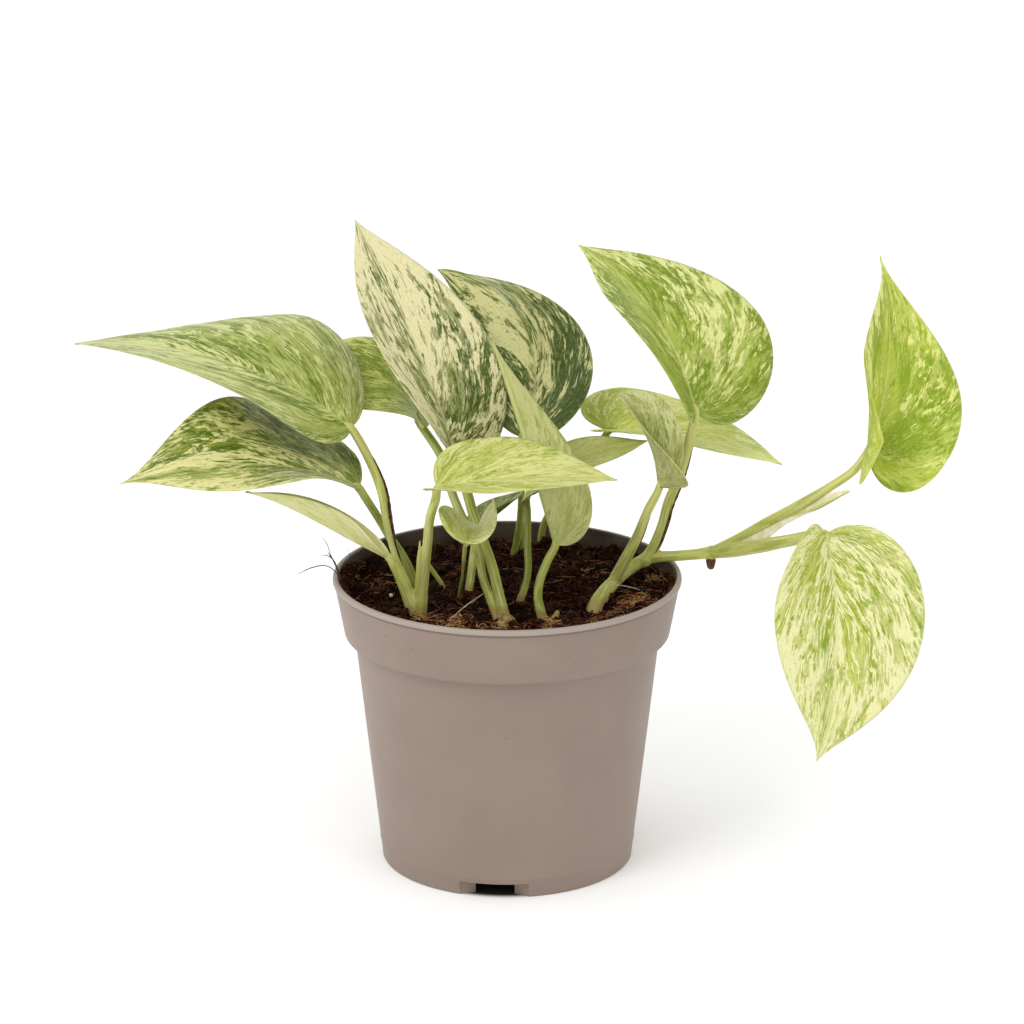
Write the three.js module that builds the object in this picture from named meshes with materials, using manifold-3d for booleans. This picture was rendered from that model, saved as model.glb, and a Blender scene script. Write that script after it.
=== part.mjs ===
// A variegated trailing house plant in a round nursery pot.
// Millimetres, +Z up. The origin is on the pot's axis, on the surface that the pot stands on,
// with the camera side of the plant towards -Y.
import * as THREE from 'three';
import { mergeVertices } from 'three/addons/utils/BufferGeometryUtils.js';
import Module from 'manifold-3d';

const wasm = await Module();
wasm.setup();

// ---- Driving dimensions ----------------------------------------------------------------------

const rimDiameter = 120;        // a 12 cm nursery pot, across the rolled lip
const potHeight = 102;
const bandHeight = 20;          // the wide band under the lip
const baseDiameter = 87;
const wall = 1.4;
const footHeight = 5;           // the floor stands this far above the table
const soilBelowRim = 9;
const rootDepth = 14;           // how far a stem goes down into the soil
const gap = 0.3;                // between pieces that touch
const bladeThickness = 0.7;

const rimRadius = rimDiameter / 2;
const baseRadius = baseDiameter / 2;
const soilTop = potHeight - soilBelowRim;
const rootEnd = soilTop - rootDepth;

// ---- Materials -------------------------------------------------------------------------------

const finish = (color, roughness) => new THREE.MeshStandardMaterial({ color, roughness, metalness: 0 });
const potPlastic = finish(0x9b8a7d, 0.6);
const pottingSoil = finish(0x3b2419, 0.95);
const stemGreen = finish(0x9fb04a, 0.5);
const leafMarbled = finish(0xa9c162, 0.45);
const leafDark = finish(0x5d7a33, 0.45);
const leafPale = finish(0xc6d182, 0.45);

// ---- Solids ----------------------------------------------------------------------------------

// One closed solid from a closed three.js geometry.
function solidOf(geometry) {
  const bare = geometry.clone();
  bare.deleteAttribute('normal');
  bare.deleteAttribute('uv');
  const merged = mergeVertices(bare, 1e-4);
  return new wasm.Manifold(new wasm.Mesh({
    numProp: 3,
    vertProperties: Float32Array.from(merged.attributes.position.array),
    triVerts: wholeTriangles(merged.index.array),
  }));
}

// Triangles that have shrunk to a line, as at a tip or a pole, are left out.
function wholeTriangles(index) {
  const kept = [];
  for (let i = 0; i < index.length; i += 3) {
    const [a, b, c] = [index[i], index[i + 1], index[i + 2]];
    if (a !== b && b !== c && c !== a) kept.push(a, b, c);
  }
  return Uint32Array.from(kept);
}

// The largest body of a solid, without any crumb that a cut left loose.
function largestBody(solid) {
  return solid.decompose().reduce((best, body) => (body.volume() > best.volume() ? body : best));
}

function geometryOf(solid) {
  const { vertProperties, triVerts } = solid.getMesh();
  const geometry = new THREE.BufferGeometry();
  geometry.setAttribute('position', new THREE.BufferAttribute(Float32Array.from(vertProperties), 3));
  geometry.setIndex(new THREE.BufferAttribute(Uint32Array.from(triVerts), 1));
  geometry.computeVertexNormals();
  return geometry;
}

function piece(name, solid, material) {
  const mesh = new THREE.Mesh(geometryOf(solid), material);
  mesh.name = name;
  return mesh;
}

const unionOf = (solids) => solids.reduce((whole, next) => whole.add(next));

const rodSides = 8;
const rodStep = 9;
const rodCore = 0.2;                   // radius of the slim extrusion inside a rod
const ballSides = 10;
const ballBands = 6;

// A round rod through [x, y, z, radius] stations. It is a slim extrusion along the curve, whose
// rings are then opened out to the radius there. `extra` makes it that much larger all over.
function rod(stations, extra = 0) {
  const centres = stations.map(([x, y, z]) => new THREE.Vector3(x, y, z));
  const radii = new THREE.CatmullRomCurve3(stations.map(([, , , r], i) => new THREE.Vector3(r, i, 0)));
  const path = new THREE.CatmullRomCurve3(centres, false, 'centripetal');
  const steps = Math.max(2, Math.round(path.getLength() / rodStep));
  const circle = new THREE.EllipseCurve(0, 0, rodCore, rodCore).getPoints(rodSides);
  const section = new THREE.Shape(circle.slice(0, rodSides));
  const geometry = new THREE.ExtrudeGeometry(section, { steps, extrudePath: path, bevelEnabled: false });
  const rings = path.getSpacedPoints(steps);
  const point = new THREE.Vector3();
  const position = geometry.attributes.position;
  for (let i = 0; i < position.count; i++) {
    point.fromBufferAttribute(position, i);
    const distances = rings.map((ring) => ring.distanceTo(point));
    const nearest = distances.indexOf(Math.min(...distances));
    const radius = radii.getPoint(path.getUtoTmapping(nearest / steps)).x + extra;
    point.sub(rings[nearest]).normalize().multiplyScalar(radius).add(rings[nearest]);
    if (nearest === 0) point.addScaledVector(path.getTangentAt(0), -extra);
    if (nearest === steps) point.addScaledVector(path.getTangentAt(1), extra);
    position.setXYZ(i, point.x, point.y, point.z);
  }
  return solidOf(geometry);
}

function ball([x, y, z, radius], extra = 0) {
  const geometry = new THREE.SphereGeometry(radius + extra, ballSides, ballBands);
  return solidOf(geometry.translate(x, y, z));
}

// ---- Pot -------------------------------------------------------------------------------------

const notchCount = 3;
const notchTurn = THREE.MathUtils.degToRad(-96);   // the first notch is a little left of the front
const notchOuterWidth = 23.6;
const notchInnerWidth = 13.4;
const cheekDepth = 4;
const drainHoles = 8;
const drainHoleRadius = 3.5;
const drainRingRadius = 28;
const drainHoleSides = 12;
const bandFootRadius = rimRadius - 3.8;            // the band narrows to this at its foot
const wallTopRadius = rimRadius - 7.5;             // the wall under the band
const bandFoot = potHeight - bandHeight;
const lipWidth = 1.7;
const potSides = 40;

// Radius of the inside of the pot at height z: straight wall, then the band.
function insideRadius(z) {
  if (z < bandFoot) return THREE.MathUtils.mapLinear(z, 0, bandFoot, baseRadius, wallTopRadius) - wall;
  return THREE.MathUtils.mapLinear(z, bandFoot, potHeight, bandFootRadius, rimRadius - 0.6) - wall;
}

function turned(profile, sides) {
  const points = profile.map(([r, z]) => new THREE.Vector2(r, z));
  const geometry = new THREE.LatheGeometry([...points, points[0]], sides);
  return geometry.rotateX(Math.PI / 2);            // the lathe turns about Y; the pot stands along Z
}

function potSolid() {
  const floorTop = footHeight + wall;
  const profile = [
    [0, footHeight],
    [baseRadius - 2.6, footHeight],
    [baseRadius - 2.2, 0],
    [baseRadius, 0],
    [wallTopRadius, bandFoot - 1.8],
    [wallTopRadius + 0.6, bandFoot - 0.9],         // the step out to the band, its corner rounded
    [bandFootRadius - 0.9, bandFoot - 0.5],
    [bandFootRadius, bandFoot + 0.7],
    [rimRadius - 0.6, potHeight - 2.6],
    [rimRadius, potHeight - 1.5],                  // the rolled lip
    [rimRadius - 0.2, potHeight - 0.4],
    [rimRadius - 0.7, potHeight],
    [rimRadius - lipWidth, potHeight],
    [insideRadius(potHeight - 0.9), potHeight - 0.9],
    [insideRadius(bandFoot + 1.2), bandFoot + 1.2],
    [insideRadius(bandFoot - 1.5), bandFoot - 1.5],
    [insideRadius(floorTop), floorTop],
    [0, floorTop],
  ];
  const notches = Array.from({ length: notchCount }, (_, i) => notchTurn + (i * 2 * Math.PI) / notchCount);
  const body = unionOf([solidOf(turned(profile, potSides)), ...notches.map(cheeks)]);
  const cuts = notches.map(notchOpening);
  for (let i = 0; i < drainHoles; i++) {
    const turn = ((i + 0.5) * 2 * Math.PI) / drainHoles;
    const hole = new THREE.CylinderGeometry(drainHoleRadius, drainHoleRadius, 2 * footHeight, drainHoleSides);
    hole.rotateX(Math.PI / 2);
    hole.translate(drainRingRadius * Math.cos(turn), drainRingRadius * Math.sin(turn), footHeight);
    cuts.push(solidOf(hole));
  }
  return cuts.reduce((pot, cut) => pot.subtract(cut), body);
}

// A flat plan shape, raised from one height to another and turned to face `turn` round the pot.
function standing(plan, from, to, turn) {
  const shape = new THREE.Shape(plan.map(([x, y]) => new THREE.Vector2(x, y)));
  const geometry = new THREE.ExtrudeGeometry(shape, { depth: to - from, bevelEnabled: false });
  return solidOf(geometry.translate(0, 0, from).rotateZ(turn));
}

// The way through the foot of the pot: wide outside, narrow inside.
function notchOpening(turn) {
  const outer = baseRadius + 2;
  const inner = baseRadius - cheekDepth - 1.5;
  const plan = [
    [outer, -notchOuterWidth / 2],
    [outer, notchOuterWidth / 2],
    [baseRadius - 2, notchOuterWidth / 2],
    [baseRadius - cheekDepth, notchInnerWidth / 2],
    [inner, notchInnerWidth / 2],
    [inner, -notchInnerWidth / 2],
    [baseRadius - cheekDepth, -notchInnerWidth / 2],
    [baseRadius - 2, -notchOuterWidth / 2],
  ];
  return standing(plan, -1, footHeight, turn);
}

// The block behind a notch that the opening is cut from, which leaves its two sloping cheeks.
function cheeks(turn) {
  const plan = [
    [baseRadius - 2, -notchOuterWidth / 2 - wall],
    [baseRadius - 2, notchOuterWidth / 2 + wall],
    [baseRadius - cheekDepth, notchInnerWidth / 2 + wall],
    [baseRadius - cheekDepth, -notchInnerWidth / 2 - wall],
  ];
  return standing(plan, 0, footHeight + 0.2, turn);
}

// ---- Leaves ----------------------------------------------------------------------------------

// Each leaf is grown from the end of its stalk:
//   base      the end of the stalk
//   heading   which way the midrib sets off, in degrees round from +X
//   pitch     how far it rises, and roll, how far the blade is turned about it
//   length    along the midrib
//   droop     how far the midrib bends away from its upper face by the tip; hook adds to it at the tip
//   sway      how far it bends to its left; tipSway adds to that at the tip; twist turns it
//   widest    where the outline is fullest, and point, how long its drip tip is
//   left and right, looking from the stalk to the tip with the upper face up:
//     [width, fold at the base, fold at the tip, curl, cup of the lobe, lobe, fullness near the tip]
//     with folds, curl and cup in degrees, towards the upper face. A half that differs from the
//     other in outline goes on with its own widest and point.
const leaves = {
  leaf_far_left: {
    base: [-53.5, 8, 152], heading: 177, pitch: 40, roll: -2, length: 109.5,
    droop: 59, hook: -11, sway: -14, tipSway: -32, twist: 12, widest: 0.51, point: 0.77,
    left: [26, -22, -8, 22, -16, 0.2, 0.39], right: [45.5, 61, 10, -51, -26, 0.2, 0.75] },
  leaf_low_left: {
    base: [-51, -2, 134], heading: 200, pitch: 29, roll: 13, length: 85.5,
    droop: 49, hook: 0, sway: -6, tipSway: -8, twist: -41, widest: 0.43, point: 0.69,
    left: [22, 12, -24, 10, -27, 0, 0.02], right: [38, 9, 38, -1, 26, 0.5, 0.05] },
  leaf_back_left: {
    base: [-31, 38, 145.5], heading: 180, pitch: 77, roll: 15, length: 56.5,
    droop: 148, hook: -44, sway: -14, tipSway: -18, twist: -25, widest: 0.46, point: 0.74,
    left: [17.5, -21, -67, 22, 14, 0.5, 0.26], right: [20, 30, 41, -10, 3, 1, 0.28] },
  leaf_tall_cream: {
    base: [-19, 8.5, 145], heading: 132, pitch: 66, roll: 6, length: 85.5,
    droop: 21, hook: -10, sway: 6, tipSway: -2, twist: -8, widest: 0.42, point: 0.76,
    left: [28, 26, -2, 17, 7, 0.9, 0.32], right: [28, 18, 9, 3, -14, 1.1, 0.34] },
  leaf_dark_back: {
    base: [5, 26.4, 143.3], heading: 47, pitch: 52, roll: 53, length: 79.5,
    droop: 39, hook: 10, sway: 80, tipSway: 35, twist: 32, widest: 0.51, point: 0.71,
    left: [34, -12, -25, 4, 6, 0.2, 1.45], right: [21, 29, -49, 49, 8, 0.2, 0.2] },
  leaf_folded: {
    base: [16.5, -15.5, 118], heading: 141, pitch: 68, roll: 164, length: 75.5,
    droop: 4, hook: -8, sway: -1, tipSway: -1, twist: 10, widest: 0.33, point: 0.68,
    left: [17.5, -15, 13, -8, -11, 0.4, 0.02], right: [13, 150, 128, 5, 0, 0, 0.2] },
  leaf_turned_over: {
    base: [7, 13.7, 125.9], heading: 9, pitch: 46, roll: 183, length: 47,
    droop: -45, hook: -6, sway: 8, tipSway: -10, twist: 12, widest: 0.43, point: 0.76,
    left: [14, -3, 12, -25, -8, 1, 0.48], right: [12, 3, 1, -23, 0, 0.1, 0.22] },
  leaf_front: {
    base: [-23, -30, 142.5], heading: 4, pitch: 11, roll: 8, length: 60.5,
    droop: 23, hook: -5, sway: -1, tipSway: 1, twist: 5, widest: 0.41, point: 0.74,
    left: [23, 12, 14, -3, 15, 0.3, 0.31], right: [17.5, 4, 8, 12, 15, 1, 0.25] },
  leaf_rolled: {
    base: [-40, -14, 112.5], heading: 160, pitch: 19, roll: -8, length: 55,
    droop: -14, hook: 20, sway: -1, tipSway: 17, twist: 1, widest: 0.6, point: 0.82,
    left: [12, 63, 52, 10, -30, 0, 0], right: [7, 70, 71, 1, 3, 0, 0] },
  leaf_tall_right: {
    base: [64, 4, 159], heading: 113, pitch: 57, roll: 13, length: 78.5,
    droop: 43, hook: -4, sway: 13, tipSway: 13, twist: -3, widest: 0.41, point: 0.72,
    left: [24, 39, -9, 8, -2, 0.9, 0.42], right: [35, 22, 4, 4, -23, 0.8, 0.36] },
  leaf_back_right: {
    base: [36, 39.5, 141.7], heading: -14, pitch: 5, roll: -19, length: 64,
    droop: 27, hook: -7, sway: -2, tipSway: -13, twist: 2, widest: 0.43, point: 0.74,
    left: [24.5, 42, 16, -6, 4, 1.9, 0.34], right: [20.5, -6, -17, 8, 0, 1, 0.26] },
  leaf_curled: {
    base: [52, -2, 134], heading: 144, pitch: 85, roll: -24, length: 40.5,
    droop: 79, hook: 3, sway: 3, tipSway: 6, twist: -9, widest: 0.46, point: 0.75,
    left: [22, 95, 20, -4, 0, -0.2, 0.1, 0, 0.2], right: [14, 68, 52, 4, 0, -0.1, 0.4] },
  leaf_small: {
    base: [-13.5, -26, 121.5], heading: 1, pitch: 31, roll: -7, length: 18.5,
    droop: -51, hook: -13, sway: 15, tipSway: -2, twist: 13, widest: 0.4, point: 0.72,
    left: [17.5, -2, 8, -8, 46, 2, 0.18], right: [13, 15, -9, -18, 11, 0.8, 0.21] },
  leaf_hidden: {
    base: [-10, 18, 113], heading: 30, pitch: 32, roll: -18, length: 22,
    droop: 9, hook: -10, sway: 2, tipSway: 2, twist: 6, widest: 0.42, point: 0.72,
    left: [11, 15, 15, 5, 0, 1, 0.2], right: [12.5, 13, 7, 17, -4, 0.9, 0.22] },
  leaf_vine_up: {
    base: [120, -35, 157], heading: 66, pitch: 37, roll: 37, length: 78.5,
    droop: 15, hook: -16, sway: 20, tipSway: 15, twist: 11, widest: 0.39, point: 0.68,
    left: [27, 48, 22, 9, 16, 2.5, 0.02], right: [28, 29, 12, 14, -2, 1.7, 0.07] },
  leaf_vine_down: {
    base: [106.5, -38, 128.5], heading: -62, pitch: -65, roll: 13, length: 81,
    droop: 40, hook: 1, sway: -16, tipSway: -4, twist: 7, widest: 0.47, point: 0.72,
    left: [30, 22, 18, 14, 0, 0.4, 0.22], right: [24.5, 20, 6, 2, 22, 0.7, 0.17] },
};

const leafColours = { leaf_dark_back: leafDark, leaf_low_left: leafDark, leaf_back_left: leafDark,
  leaf_hidden: leafDark, leaf_front: leafPale, leaf_rolled: leafPale, leaf_small: leafPale,
  leaf_folded: leafPale };

const midribSteps = 24;
const bladeRows = 12;                  // along the outline of one half of a blade
const bladeColumns = 2;                // from the midrib to the edge
const mostLean = 0.6;                  // at a sharp fold the points stand out no more than 1 / this
const veinStart = 0.3;                 // the outline's share that runs round the lobe, from the base
const lobeReach = 0.35;                // the lobe's cup dies out this far along the midrib

// The midrib as frames: where it is, which way it runs, its left, and the way its upper face looks.
function midribFrames(leaf) {
  const [heading, pitch, roll] = [leaf.heading, leaf.pitch, leaf.roll].map(THREE.MathUtils.degToRad);
  const along = new THREE.Vector3(
    Math.cos(pitch) * Math.cos(heading), Math.cos(pitch) * Math.sin(heading), Math.sin(pitch));
  const left = new THREE.Vector3(-Math.sin(heading), Math.cos(heading), 0).applyAxisAngle(along, roll);
  const up = new THREE.Vector3().crossVectors(along, left);
  const at = new THREE.Vector3(...leaf.base);
  const frames = [{ at: at.clone(), along: along.clone(), left: left.clone(), up: up.clone() }];
  for (let i = 0; i < midribSteps; i++) {
    const [from, to] = [i / midribSteps, (i + 1) / midribSteps];
    const bend = (whole, tip) => THREE.MathUtils.degToRad(whole * (to - from) + tip * (to ** 3 - from ** 3));
    const before = along.clone();
    turnBy(left, bend(leaf.droop, leaf.hook), along, up);
    turnBy(up, bend(leaf.sway, leaf.tipSway), along, left);
    turnBy(along, bend(leaf.twist, 0), left, up);
    at.addScaledVector(before.add(along), leaf.length / midribSteps / 2);
    frames.push({ at: at.clone(), along: along.clone(), left: left.clone(), up: up.clone() });
  }
  return frames;
}

function turnBy(axis, angle, ...arms) {
  arms.forEach((arm) => arm.applyAxisAngle(axis, angle));
}

// The frame a share `a` of the way to the tip. Behind the base it runs straight back.
function frameAt(frames, a, length) {
  const place = THREE.MathUtils.clamp(a, 0, 1) * midribSteps;
  const i = Math.min(Math.floor(place), midribSteps - 1);
  const mix = (key) => frames[i][key].clone().lerp(frames[i + 1][key], place - i);
  const at = mix('at').addScaledVector(frames[0].along, Math.min(a, 0) * length);
  return { at, left: mix('left'), up: mix('up') };
}

// Half of the heart-shaped outline, from the base (s = 0) back round the lobe and out to the tip.
function outlinePoint(s, leaf, half) {
  const [, , , , , lobe, fullness, widest = leaf.widest, point = leaf.point] = half;
  let points = [[0, 0], [-0.1 * lobe, 0.1], [-0.34 * lobe, 0.95], [widest, 1.95], [point, fullness], [1, 0]];
  while (points.length > 1) {
    points = points.slice(1).map(([x, y], i) => [
      points[i][0] + (x - points[i][0]) * s, points[i][1] + (y - points[i][1]) * s]);
  }
  return points[0];
}

// Where on the midrib the vein to that point of the outline starts.
const veinFoot = (s) => THREE.MathUtils.clamp((s - veinStart) / (1 - veinStart), 0, 1) ** 1.15;

function bladePoint(leaf, frames, half, side, s, t) {
  const [width, fold, foldTip, curl, cup] = half;
  const fullest = Math.max(...Array.from({ length: 60 }, (_, i) => outlinePoint(i / 59, leaf, half)[1]));
  const [edgeAlong, edgeAcross] = outlinePoint(s, leaf, half);
  const along = THREE.MathUtils.lerp(veinFoot(s), edgeAlong, t);
  const across = (edgeAcross / fullest) * t;
  const lobeShare = THREE.MathUtils.clamp(1 - along / lobeReach, 0, 1.4) ** 2;
  const foldHere = fold + (foldTip - fold) * THREE.MathUtils.clamp(along, 0, 1) + cup * lobeShare;
  const rise = THREE.MathUtils.degToRad(foldHere) + 1e-5;
  const turn = THREE.MathUtils.degToRad(curl) + 1e-6;
  const out = (width / turn) * (Math.sin(rise + turn * across) - Math.sin(rise));
  const lift = (-width / turn) * (Math.cos(rise + turn * across) - Math.cos(rise));
  const frame = frameAt(frames, along, leaf.length);
  return frame.at.addScaledVector(frame.left, side * out).addScaledVector(frame.up, lift);
}

// The blade is a grid of points from its right edge to its left, made a thin solid. What its own
// stalk and the gap round it take up is cut away.
function leafSolid(leaf, stalk) {
  const frames = midribFrames(leaf);
  const points = [];
  for (let row = 0; row <= bladeRows; row++) {
    for (let column = -bladeColumns; column <= bladeColumns; column++) {
      const [half, side] = column < 0 ? [leaf.right, -1] : [leaf.left, 1];
      points.push(bladePoint(leaf, frames, half, side, row / bladeRows, Math.abs(column) / bladeColumns));
    }
  }
  const across = 2 * bladeColumns + 1;
  const index = [];
  for (let row = 0; row < bladeRows; row++) {
    for (let column = 0; column < across - 1; column++) {
      const a = row * across + column;
      const b = a + across;
      if (column < bladeColumns) index.push(a, b, a + 1, a + 1, b, b + 1);
      else index.push(a, b, b + 1, a, b + 1, a + 1);
    }
  }
  const sheet = new THREE.BufferGeometry().setFromPoints(points);
  sheet.setIndex(index);
  return largestBody(thickened(sheet, bladeThickness).subtract(rod(stalk, gap)));
}

// A sheet made a closed solid: the same triangles on both faces, and a wall round its edge. Along
// a fold its points stand further out, so that it isn't thinner there.
function thickened(sheet, thickness) {
  const merged = mergeVertices(sheet, 1e-3);
  merged.setIndex(new THREE.BufferAttribute(wholeTriangles(merged.index.array), 1));
  merged.computeVertexNormals();
  const triangles = merged.index.array;
  const count = merged.attributes.position.count;
  const at = Array.from({ length: count }, (_, i) => vectorOf(merged.attributes.position, i));
  const normals = Array.from({ length: count }, (_, i) => vectorOf(merged.attributes.normal, i));
  const lean = new Array(count).fill(1);
  const faces = [];
  const edges = new Map();
  for (let i = 0; i < triangles.length; i += 3) {
    const corners = [...triangles.slice(i, i + 3)];
    const flat = new THREE.Triangle(...corners.map((corner) => at[corner])).getNormal(new THREE.Vector3());
    for (const corner of corners) lean[corner] = Math.min(lean[corner], flat.dot(normals[corner]));
    const [a, b, c] = corners;
    faces.push(a, b, c, c + count, b + count, a + count);
    for (const [from, to] of [[a, b], [b, c], [c, a]]) edges.set(`${from} ${to}`, [from, to]);
  }
  for (const [from, to] of edges.values()) {
    if (!edges.has(`${to} ${from}`)) faces.push(to, from, from + count, to, from + count, to + count);
  }
  const face = (way) => at.map((point, i) => {
    const step = (way * thickness) / 2 / Math.max(lean[i], mostLean);
    return point.clone().addScaledVector(normals[i], step);
  });
  const solid = new THREE.BufferGeometry().setFromPoints([...face(1), ...face(-1)]);
  solid.setIndex(faces);
  return solidOf(solid);
}

const vectorOf = (attribute, i) => new THREE.Vector3().fromBufferAttribute(attribute, i);

// ---- Stems -----------------------------------------------------------------------------------

// Each cutting is one stem with its leaf stalks. A shoot's stations are [x, y, z, radius]. One
// that `carries` a leaf goes on to that leaf's base, where its radius is `end`. A knob is the
// swollen or cut end of the old stem.
const stems = {
  stem_left: { shoots: [
    { carries: 'leaf_front', end: 1.5, stations: [[-30.5, -12, rootEnd, 2.6], [-30, -12, 92, 2.6],
      [-28.5, -14, 106, 2], [-27, -18, 118.5, 1.7], [-26, -22, 129, 1.6], [-24, -26, 137, 1.6]] },
    { carries: 'leaf_rolled', end: 1.6, stations: [[-31, -12, rootEnd, 2.4], [-32, -12, 92, 2.6],
      [-35, -12, 102, 2.4], [-38, -13, 109, 2]] },
    { carries: 'leaf_far_left', end: 1.5, stations: [[-33.5, -9, 96.5, 1.5], [-36, -6, 104.5, 1.5],
      [-38.5, -3, 111, 1.5], [-41, -1, 121, 1.6], [-43, 3, 131, 1.7], [-47.5, 7, 141.5, 1.6]] },
    { stations: [[-30.5, -13.5, 99, 1.2], [-30, -17, 111, 0.9], [-29.5, -19, 120, 0.4]] },
  ] },
  stem_left_back: { shoots: [
    { carries: 'leaf_low_left', end: 1.5, stations: [[-31, 5.5, rootEnd, 1.7], [-31, 5.5, 91.5, 1.7],
      [-33, 4.5, 100, 1.7], [-36, 3.5, 107, 1.7], [-39.5, 4, 112.5, 1.6], [-44.5, 3.5, 121.5, 1.5],
      [-48, -1, 129, 1.5]] },
  ] },
  stem_knob: { knobs: [[-0.8, -20, 90, 4.3]], shoots: [
    { carries: 'leaf_tall_cream', end: 1.6, stations: [[-0.5, -18, 90, 2.2], [-3, -14, 100, 1.9],
      [-5, -10, 107.5, 1.8], [-8, -5, 115, 1.8], [-11.5, 0, 123, 1.8], [-14, 4, 131, 1.8]] },
    { carries: 'leaf_back_left', end: 1.5, stations: [[-2.6, -17.5, 90, 1.7], [-5.5, -13, 97, 1.7],
      [-8, -8, 102.5, 1.6], [-9.5, -2, 108.5, 1.6], [-11, 4, 113, 1.6], [-15.5, 12, 118.5, 1.6],
      [-19, 20, 124.5, 1.6], [-23, 30, 135, 1.6]] },
  ] },
  stem_thin: { shoots: [
    { carries: 'leaf_small', end: 0.8, stations: [[-16.5, 2.5, rootEnd, 0.9], [-16.5, 2.5, 91.5, 0.9],
      [-15, -8, 104, 0.8], [-14.5, -20, 115.5, 0.8]] },
  ] },
  stem_middle: { shoots: [
    { carries: 'leaf_hidden', end: 1.4, stations: [[-13.5, 5, rootEnd, 1.5], [-13.5, 5, 91.5, 1.5],
      [-12.5, 9, 98.5, 1.5], [-11.5, 13, 105.5, 1.5]] },
  ] },
  stem_centre: { shoots: [
    { carries: 'leaf_turned_over', end: 1.3, stations: [[4, -4.5, rootEnd, 1.5], [4, -4.5, 92, 1.5],
      [5.5, -3, 96.5, 1.4], [7, -1, 102, 1.4], [7, 2, 111.5, 1.3], [7, 6, 121, 1.3]] },
  ] },
  stem_back: { shoots: [
    { carries: 'leaf_dark_back', end: 1.3, stations: [[1.5, 38, rootEnd, 1.3], [1.5, 38, 91.5, 1.3],
      [3, 37, 100, 1.3], [4.5, 34, 110.5, 1.3], [5, 31, 122.5, 1.3]] },
    { stations: [[5.2, 41.5, rootEnd + 4, 0.9], [5.2, 41, 94, 0.9], [5, 37, 105, 0.9],
      [4.8, 33, 114.5, 0.9]] },
  ] },
  stem_back_right: { shoots: [
    { carries: 'leaf_back_right', end: 1.3, stations: [[9.5, 46, rootEnd, 1.3], [10.5, 50, 91.5, 1.3],
      [11.5, 49, 96, 1.3], [13.5, 46, 106.5, 1.3], [22, 44, 119, 1.3], [29, 42, 129, 1.3]] },
  ] },
  stem_front: { knobs: [[15.5, -20, 89.5, 2.6]], shoots: [
    { carries: 'leaf_folded', end: 1.4, stations: [[12, -20, rootEnd, 1.8], [12, -20, 92, 1.8],
      [10.5, -19, 99.5, 1.6], [11, -18, 105, 1.5], [13.5, -16, 111.5, 1.5]] },
    { stations: [[12, -20, 87.5, 1.8], [15, -20, 90, 2.3], [17, -19.5, 94.5, 1]] },
  ] },
  stem_stub: { shoots: [
    { stations: [[-18.5, 8, rootEnd + 5, 0.9], [-21, 9, 92, 0.9], [-28.5, 12, 103, 0.9]] },
  ] },
  stem_vine: { knobs: [[47.5, 12.5, 102.6, 2.6], [70.5, 8, 107, 2.5]], shoots: [
    { stations: [[29, -7, rootEnd, 2.8], [30, -6.5, 91.2, 3], [33.5, 0, 95.2, 2.7], [38.5, 7.5, 98, 2.3],
      [44, 12, 101, 2.3], [49, 13, 103.2, 2.1], [58.5, 11.5, 104.6, 1.9], [64.5, 10, 105.6, 1.9],
      [70.5, 8, 107, 2.2]] },
    { carries: 'leaf_curled', end: 1.4, stations: [[36, 5, 96.5, 2], [40.5, 4, 105.5, 2],
      [44.5, 2, 114.5, 1.8], [48, 0, 124.5, 1.6]] },
    { carries: 'leaf_tall_right', end: 1.6, stations: [[47.5, 13, 102.5, 2.1], [50.5, 13, 107, 2],
      [53.5, 12, 115.5, 1.8], [55.5, 10, 124.5, 1.8], [58.5, 8, 133, 1.7], [61, 5, 143, 1.7]] },
    { carries: 'leaf_vine_down', end: 1.5, stations: [[70.5, 8, 107, 2.2], [78, 0, 110.5, 2.4],
      [86, -12, 116, 2.4], [95, -26, 122.5, 2.1]] },
    { carries: 'leaf_vine_up', end: 1.4, stations: [[70.5, 8, 107, 2], [79, 2, 113.5, 2.1],
      [88, -8, 122.5, 2.1], [98.5, -20, 133, 1.9], [108, -28, 142, 1.6], [116, -32, 149.5, 1.5]] },
    { stations: [[91, -11.5, 124.5, 1], [103.5, -25, 133.5, 0.8], [114, -36, 143, 0.4]] },
    { stations: [[70.3, 8, 106, 1.4], [70.3, 7.8, 102.8, 1.3]] },
  ] },
};

for (const { shoots } of Object.values(stems)) {
  for (const shoot of shoots) {
    if (shoot.carries) shoot.stations.push([...leaves[shoot.carries].base, shoot.end]);
  }
}

function stemSolid({ knobs = [], shoots }, extra = 0) {
  const rods = shoots.map(({ stations }) => rod(stations, extra));
  return unionOf([...rods, ...knobs.map((knob) => ball(knob, extra))]);
}

// ---- Soil ------------------------------------------------------------------------------------

// Its top is uneven, and each stem stands in a plain hole.
const soilSides = potSides;
const soilRings = [0.3, 0.55, 0.75, 0.9];
const soilHumps = 0.8;                 // broad humps, and finer ones across them
const soilRipples = 0.5;
const soilDip = { x: -4, y: -20, depth: 3.4, halfWidth: 36, halfDepth: 18 };  // where the cuttings stand
const soilBank = 3.4;                  // how much higher the soil lies at the wall, left and right
const soilBack = { rise: 3.6, from: -5, to: 50 };  // and behind the cuttings
const soilEdgeDrop = 2;

// How much higher than soilTop the soil lies there.
function soilRelief(x, y) {
  const humps = soilHumps * Math.sin(x * 0.23 + 1) * Math.cos(y * 0.19);
  const ripples = soilRipples * Math.sin(x * 0.51 - y * 0.44);
  const fromDip = ((x - soilDip.x) / soilDip.halfWidth) ** 2 + ((y - soilDip.y) / soilDip.halfDepth) ** 2;
  const bank = soilBank * (Math.hypot(x, y) / rimRadius) ** 3 * (x / rimRadius) ** 2;
  const back = soilBack.rise * THREE.MathUtils.smoothstep(y, soilBack.from, soilBack.to);
  return humps + ripples - soilDip.depth * Math.exp(-fromDip) + bank + back;
}

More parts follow.
